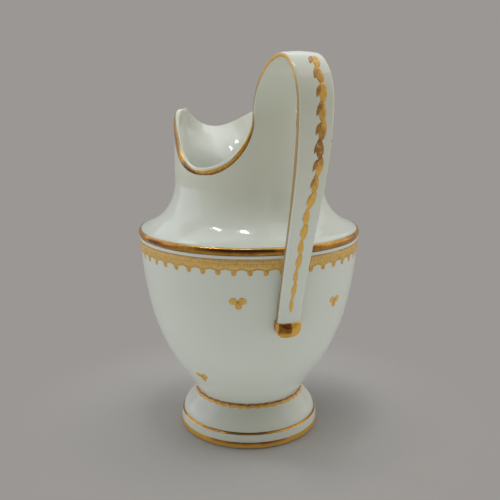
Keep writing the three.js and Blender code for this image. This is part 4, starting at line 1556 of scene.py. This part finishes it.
def leaf_motif():
    motif = Motif()
    motif.blob(leaf((-3.0, 0.2), (2.8, 0.6), 1.4), 0.05)
    motif.blob(leaf((-2.7, -0.7), (3.2, -0.2), 1.5), 1.0)
    return motif


def sprig_motif():
    motif = Motif()
    motif.blob(oval(-1.95, 0.6, 1.85, 1.55, 0.25, 14), 1.1)
    motif.blob(oval(1.95, 0.65, 1.85, 1.55, -0.3, 14), 1.05)
    motif.blob(oval(0.2, -1.6, 1.5, 1.6, 0.2, 14), 0.95)
    motif.blob(oval(0.0, 0.3, 0.8, 0.7, 0.0, 8), 0.5, LEAF_RISE * 1.5)
    return motif


pitch = repeat_pitch(BORDER_RADIUS, BORDER_REPEATS)
row = [(pitch * k, 0) for k in range(BORDER_REPEATS)]
wrapped("lace_border", border_motif(pitch), row, bowl, BORDER_RADIUS, "border_gilding", jitter=0.0, seed=11)
pitch = repeat_pitch(LEAF_RADIUS, LEAF_REPEATS)
row = [(pitch * k, LEAF_HEIGHT) for k in range(LEAF_REPEATS)]
wrapped("foot_leaves", leaf_motif(), row, foot, LEAF_RADIUS, "foot_garland_gilding", jitter=0.07, seed=5)
for name, (radius, seed, places) in SPRIG_ROWS.items():
    row = [(math.radians(angle) * radius, height) for angle, height in places]
    wrapped(name, sprig_motif(), row, bowl, radius, jitter=0.06, seed=seed)

# %% [markdown]
# ### Chain of husks on the strap
# Down the strap's face hangs a chain of husks that grow smaller towards the pad: a bright lobe to the right
# and a dark pointed leaf to the left of each. It is browner at its top and in one stretch below the arch,
# and paler further down. Each husk could be set by hand, but the tree lays the whole flat chain along a
# guide line on the strap: y is the way along the guide and x goes across. It tapers the chain, changes its
# tone along the way and drops it onto the glaze by rays.

# %% The chain's tree
CHAIN_RAY = 0.004                     # rays start this far above the strap's face, in metres
CHAIN_REACH = 0.01
# Shares of the chain's length between which it changes.
TOP_FADES, BROWN_BEGINS, BROWN_ENDS, PALE_BEGINS = (0.0, 0.2), (0.25, 0.30), (0.37, 0.42), (0.42, 0.62)
LEAVES_SHRINK, CHAIN_TAPERS = (0.36, 0.56), (0.5, 1.0)
PALE_TONE = 1.35                      # the tone that all strokes come near to in the pale stretch
LEAF_LOSS = 0.45                      # share of their width that the left leaves lose


def chain_tree():
    sockets = {"Motif": "Object", "Body": "Object", "Guide": "Object", "Length": "Float",
               "Taper": "Float", "Side": "Float", "Seed": "Int", "Material": "Material"}
    tree, entry, keys = new_tree("husk_chain", sockets)
    shape, flat = set_motifs(entry, entry.beside("Seed"), {})
    share = flat.beside("Y") / entry.beside("Length")
    top = 1 - share.step(*TOP_FADES)
    brown = share.step(*BROWN_BEGINS) * (1 - share.step(*BROWN_ENDS))
    low = share.step(*PALE_BEGINS)
    tone = entry.node("GeometryNodeInputNamedAttribute", {"data_type": "FLOAT"}, {"Name": "tone"})
    tone = tone * (1 - brown * 0.75 - top * 0.3) + low * (PALE_TONE - tone) * 0.75
    shape = store(entry, shape, "tone", tone)
    left = entry.math("MINIMUM", flat, 0.0)
    across = flat - left * share.step(*LEAVES_SHRINK) * LEAF_LOSS
    across = across * (1 - share.step(*CHAIN_TAPERS) * entry.beside("Taper"))
    across = across + entry.beside("Side") * (1 - low * 1.4)
    out = entry.node("GeometryNodeInputNamedAttribute", {"data_type": "FLOAT_VECTOR"}, {"Name": "out"})
    curve = entry.node("GeometryNodeMeshToCurve", None, {0: shape_of(entry, "Guide")})
    settings = {"data_type": "FLOAT_VECTOR", "mode": "LENGTH", "use_all_curves": True}
    inputs = {"Curves": curve, "Value": out, "Length": flat.beside("Y")}
    out = entry.node("GeometryNodeSampleCurve", settings, inputs)
    source = entry.vector("ADD", {0: out.beside("Position"), 1: entry.join(y=across)})
    source = entry.vector("ADD", {0: source, 1: entry.vector("SCALE", {0: out, "Scale": CHAIN_RAY})})
    down = entry.vector("SCALE", {0: out, "Scale": -1.0})
    lay_on_glaze(entry, shape, source, down, CHAIN_REACH, flat.beside("Z"))
    return tree, keys


CHAIN = chain_tree()
print("chain tree:", len(CHAIN[0].nodes), "nodes")

# %% The chain
HUSK_FROM, HUSK_TO, HUSK_PAIRS = 0.284, 0.98, 8
HUSK_TAPER, HUSK_SIDE = 0.40, 1.6     # share of the width that is lost, and mm to the right of the middle
HUSK_SEED = 4


def husk_motif(pitch):
    """Two husks: a bright one that swings to the right, and a browner one nearer to the middle."""
    motif = Motif()
    motif.blob(oval(0.15, pitch, 0.75, pitch * 0.99, 0, 14), 0.6, 0.04)
    motif.blob(leaf((0.2, pitch * 0.02), (-2.1, pitch * 0.78), 2.2), 0.25)
    motif.blob(oval(0.8, pitch * 0.5, 1.65, pitch * 0.58, 0.10, 14), 1.0)
    motif.blob(leaf((0.2, pitch * 1.0), (-2.1, pitch * 1.76), 2.2), 0.2)
    motif.blob(leaf((0.5, pitch * 1.1), (1.9, pitch * 1.8), 1.4), 1.0)
    motif.blob(oval(0.15, pitch * 1.5, 1.6, pitch * 0.58, -0.10, 14), 0.7)
    return motif


def strap_guide():
    """A line down the middle of the strap's face, with the direction out of the face on each point."""
    s = np.linspace(HUSK_FROM, 1.0, 200) * WAY_LENGTH
    x, z, dx, dz = on_way(s)
    rise = strap_thick(s) / 2
    out = np.stack([-dz, np.zeros_like(dz), dx], axis=1)
    points = (np.stack([x, np.zeros_like(x), z], axis=1) + out * rise[:, None]) * MM
    mesh = bpy.data.meshes.new("strap_guide")
    mesh.from_pydata([tuple(p) for p in points], [(k, k + 1) for k in range(len(points) - 1)], [])
    mesh.attributes.new("out", "FLOAT_VECTOR", "POINT").data.foreach_set("vector", out.ravel())
    return put("strap_guide", mesh)


def husk_chain():
    length = (HUSK_TO - HUSK_FROM) * WAY_LENGTH
    pitch = length / (2 * HUSK_PAIRS)
    holder, guide = husk_motif(pitch).holder("husk_motif"), strap_guide()
    values = {"Motif": holder, "Body": strap, "Guide": guide, "Length": length * MM, "Taper": HUSK_TAPER,
              "Side": HUSK_SIDE * MM, "Seed": HUSK_SEED, "Material": PAINTED}
    points = [(0, 2 * pitch * k) for k in range(HUSK_PAIRS)]
    mesh = grow("husk_chain", row_of("husk_chain", points), CHAIN, values)
    for helper in (holder, guide):
        bpy.data.objects.remove(helper)
    add_piece("husk_chain", mesh, "gilding", "husk_chain_gilding")


husk_chain()

# %% [markdown]
# ## Floor and background
# The jug stands on a plain grey sweep that shows no horizon. A real sweep is a sheet of paper. Here the
# floor is a wide disc that takes the jug's shadow near the foot and turns into the even grey of the world
# further out. Two soft shades beside the foot are in its material, because soft lamps alone leave the
# shadow too thin there. The room on the camera's side is darker in what gold and glaze mirror, which is what
# turns the gold brown in front.

# %% Floor
GREY = colour(155, 151, 148)
BOUNCE = (0.82, 0.85, 0.83, 1.0)      # light that the sweep throws back on matt surfaces
PALE_FLOOR, DARK_FLOOR = colour(170, 167, 165), colour(166, 163, 161)
FLOOR_SHADE = colour(96, 93, 91)
SHADE_REACH = 0.055
# Soft shades on the sweep: place in metres, to the camera's right and behind the axis, and strength.
SHADES = [((0.034, 0.018), 0.45), ((-0.036, 0.026), 0.22)]
SEEN_FADE = (0.035, 0.14)             # metres from the axis between which the paper turns into plain grey
LIT_FADE = (0.02, 0.072)              # the same for the light that it throws back
FLOOR_RINGS = [20, 60, 120, 300, 900, 3000]
FLOOR_STEPS, FLOOR_DEPTH = 64, 0.02   # it lies just under the foot


def seen_directly(start):
    """1 for what the camera sees, also in gold and glaze, and 0 for the light on matt surfaces."""
    path = start.node("ShaderNodeLightPath", out="Is Camera Ray")
    return path + path.beside("Is Glossy Ray") + path.beside("Is Transmission Ray")


def floor_material():
    material, start, place = new_material("studio_floor")
    far = start.vector("LENGTH", {0: place}, "Value")
    tint = noise(start, place, 300.0, 2.0).mix(DARK_FLOOR, PALE_FLOOR)
    for (right, behind), strength in SHADES:
        aside = start.vector("DISTANCE", {0: place, 1: RIGHT * right - NEAR * behind}, "Value")
        tint = ((1 - aside.step(0.0, SHADE_REACH)) * strength).mix(tint, FLOOR_SHADE)
    inputs = {"Base Color": tint, "Roughness": 1.0, "Specular IOR Level": 0.0}
    paper = start.node("ShaderNodeBsdfPrincipled", None, inputs)
    glow, bounce = (start.node("ShaderNodeEmission", None, {"Color": light}) for light in (GREY, BOUNCE))
    shown = far.step(*SEEN_FADE).mix_shaders(paper, glow)
    lit = far.step(*LIT_FADE).mix_shaders(paper, bounce)
    surface = seen_directly(start).mix_shaders(lit, shown)
    start.node("ShaderNodeOutputMaterial", None, {"Surface": surface}, None)
    return material


def lay_floor():
    turn = np.linspace(0, 2 * np.pi, FLOOR_STEPS + 1)[:-1]
    points = [(r * math.cos(a), r * math.sin(a), -FLOOR_DEPTH) for r in FLOOR_RINGS for a in turn]
    faces = [tuple(range(FLOOR_STEPS)), *ring_faces(len(FLOOR_RINGS), FLOOR_STEPS)]
    mesh = mesh_of("studio_floor", points, faces)
    mesh.materials.append(floor_material())
    floor = put("studio_floor", mesh)
    floor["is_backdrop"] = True


lay_floor()
print("floor out to", FLOOR_RINGS[-1], "mm")

# %% World
ROOM = colour(72, 68, 64)             # the dark room on the camera's side, as gold mirrors it
ROOM_EDGE = (0.35, 0.8)               # cosines to the camera's direction between which it gets dark
FILL = (0.24, 0.22, 0.17, 1.0)        # light of the room on matt surfaces


def light_world():
    world = bpy.data.worlds.new("studio_grey")
    world.use_nodes = True
    world.node_tree.nodes.clear()
    scene.world = world
    start = Wire(world.node_tree)
    direction = start.node("ShaderNodeTexCoord", out="Generated")
    facing = start.vector("DOT_PRODUCT", {0: direction, 1: NEAR}, "Value")
    mirrored = start.node("ShaderNodeLightPath", out="Is Glossy Ray")
    fill, grey, room = (start.node("ShaderNodeBackground", None, {"Color": light, "Strength": 1.0})
                        for light in (FILL, GREY, ROOM))
    around = (mirrored * facing.step(*ROOM_EDGE)).mix_shaders(grey, room)
    shown = seen_directly(start).mix_shaders(fill, around)
    start.node("ShaderNodeOutputWorld", None, {"Surface": shown}, None)


light_world()
print("world:", scene.world.name, len(scene.world.node_tree.nodes), "nodes")

# %% [markdown]
# ## Lamps
# A photographer would hang large diffusers over and beside the jug and two small lamps above it. The sheets
# light the body from above, behind and both sides; each is as strong as a neutral patch of the glaze needs
# to come out at its own colour. The two small overhead lamps make the window marks on shoulder and spout. The
# soft lamps only light matt surfaces, because a real flag would keep their mirror image off the glaze.

# %% Lights
LAMP_AIM = UP * 0.09
# Place in metres as seen by the camera (towards it, to its right, up), width, depth, watts and colour.
LIGHTS = {
    "overhead_near": ((0.10, -0.05, 0.95), 0.07, 0.12, 0.60, (1.0, 0.99, 0.97)),
    "overhead_left": ((0.06, -0.36, 0.92), 0.07, 0.12, 0.60, (1.0, 0.99, 0.97)),
    "top_sheet": ((-0.25, 0.1, 1.05), 1.4, 1.2, 5.7, (0.81, 0.89, 1.0)),
    "back_sheet": ((-0.8, -0.15, 0.72), 1.3, 0.45, 1.3, (0.9, 0.96, 1.0)),
    "left_sheet": ((-0.2, -0.9, 0.4), 0.9, 0.8, 2.1, (0.78, 0.82, 1.0)),
    "right_sheet": ((-0.2, 0.9, 0.4), 0.9, 0.8, 1.1, (0.98, 1.0, 1.0)),
    "soft_right": ((-0.2, 0.75, 0.8), 0.8, 0.6, 2.6, (1.0, 1.0, 0.97)),
    "soft_left": ((0.1, -0.75, 0.85), 0.8, 0.6, 1.85, (0.9, 1.0, 1.0)),
}


def set_lights():
    for name, ((near, right, up), wide, deep, watts, tint) in LIGHTS.items():
        data = bpy.data.lights.new(name, "AREA")
        data.shape = "RECTANGLE"
        data.size, data.size_y = wide, deep
        data.energy = watts
        data.color = tint
        lamp = put(name, data)
        lamp.visible_glossy = not name.startswith("soft")
        lamp.location = NEAR * near + RIGHT * right + UP * up
        look_along(lamp, LAMP_AIM - lamp.location)


set_lights()
print("lights:", ", ".join(LIGHTS))

# %% [markdown]
# ## Hand-over
# The looks must not change the size of the part. The box of the CAD model and the box of the finished
# pieces are printed side by side.

# %% Sizes
VISUAL_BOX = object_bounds()
for axis in range(3):
    low, high = (round((VISUAL_BOX[k][axis] - CAD_BOX[k][axis]) / MM, 2) for k in (0, 1))
    print("XYZ"[axis], "visual minus CAD in mm: low", low, "high", high)
print("pieces:", len(PIECES))
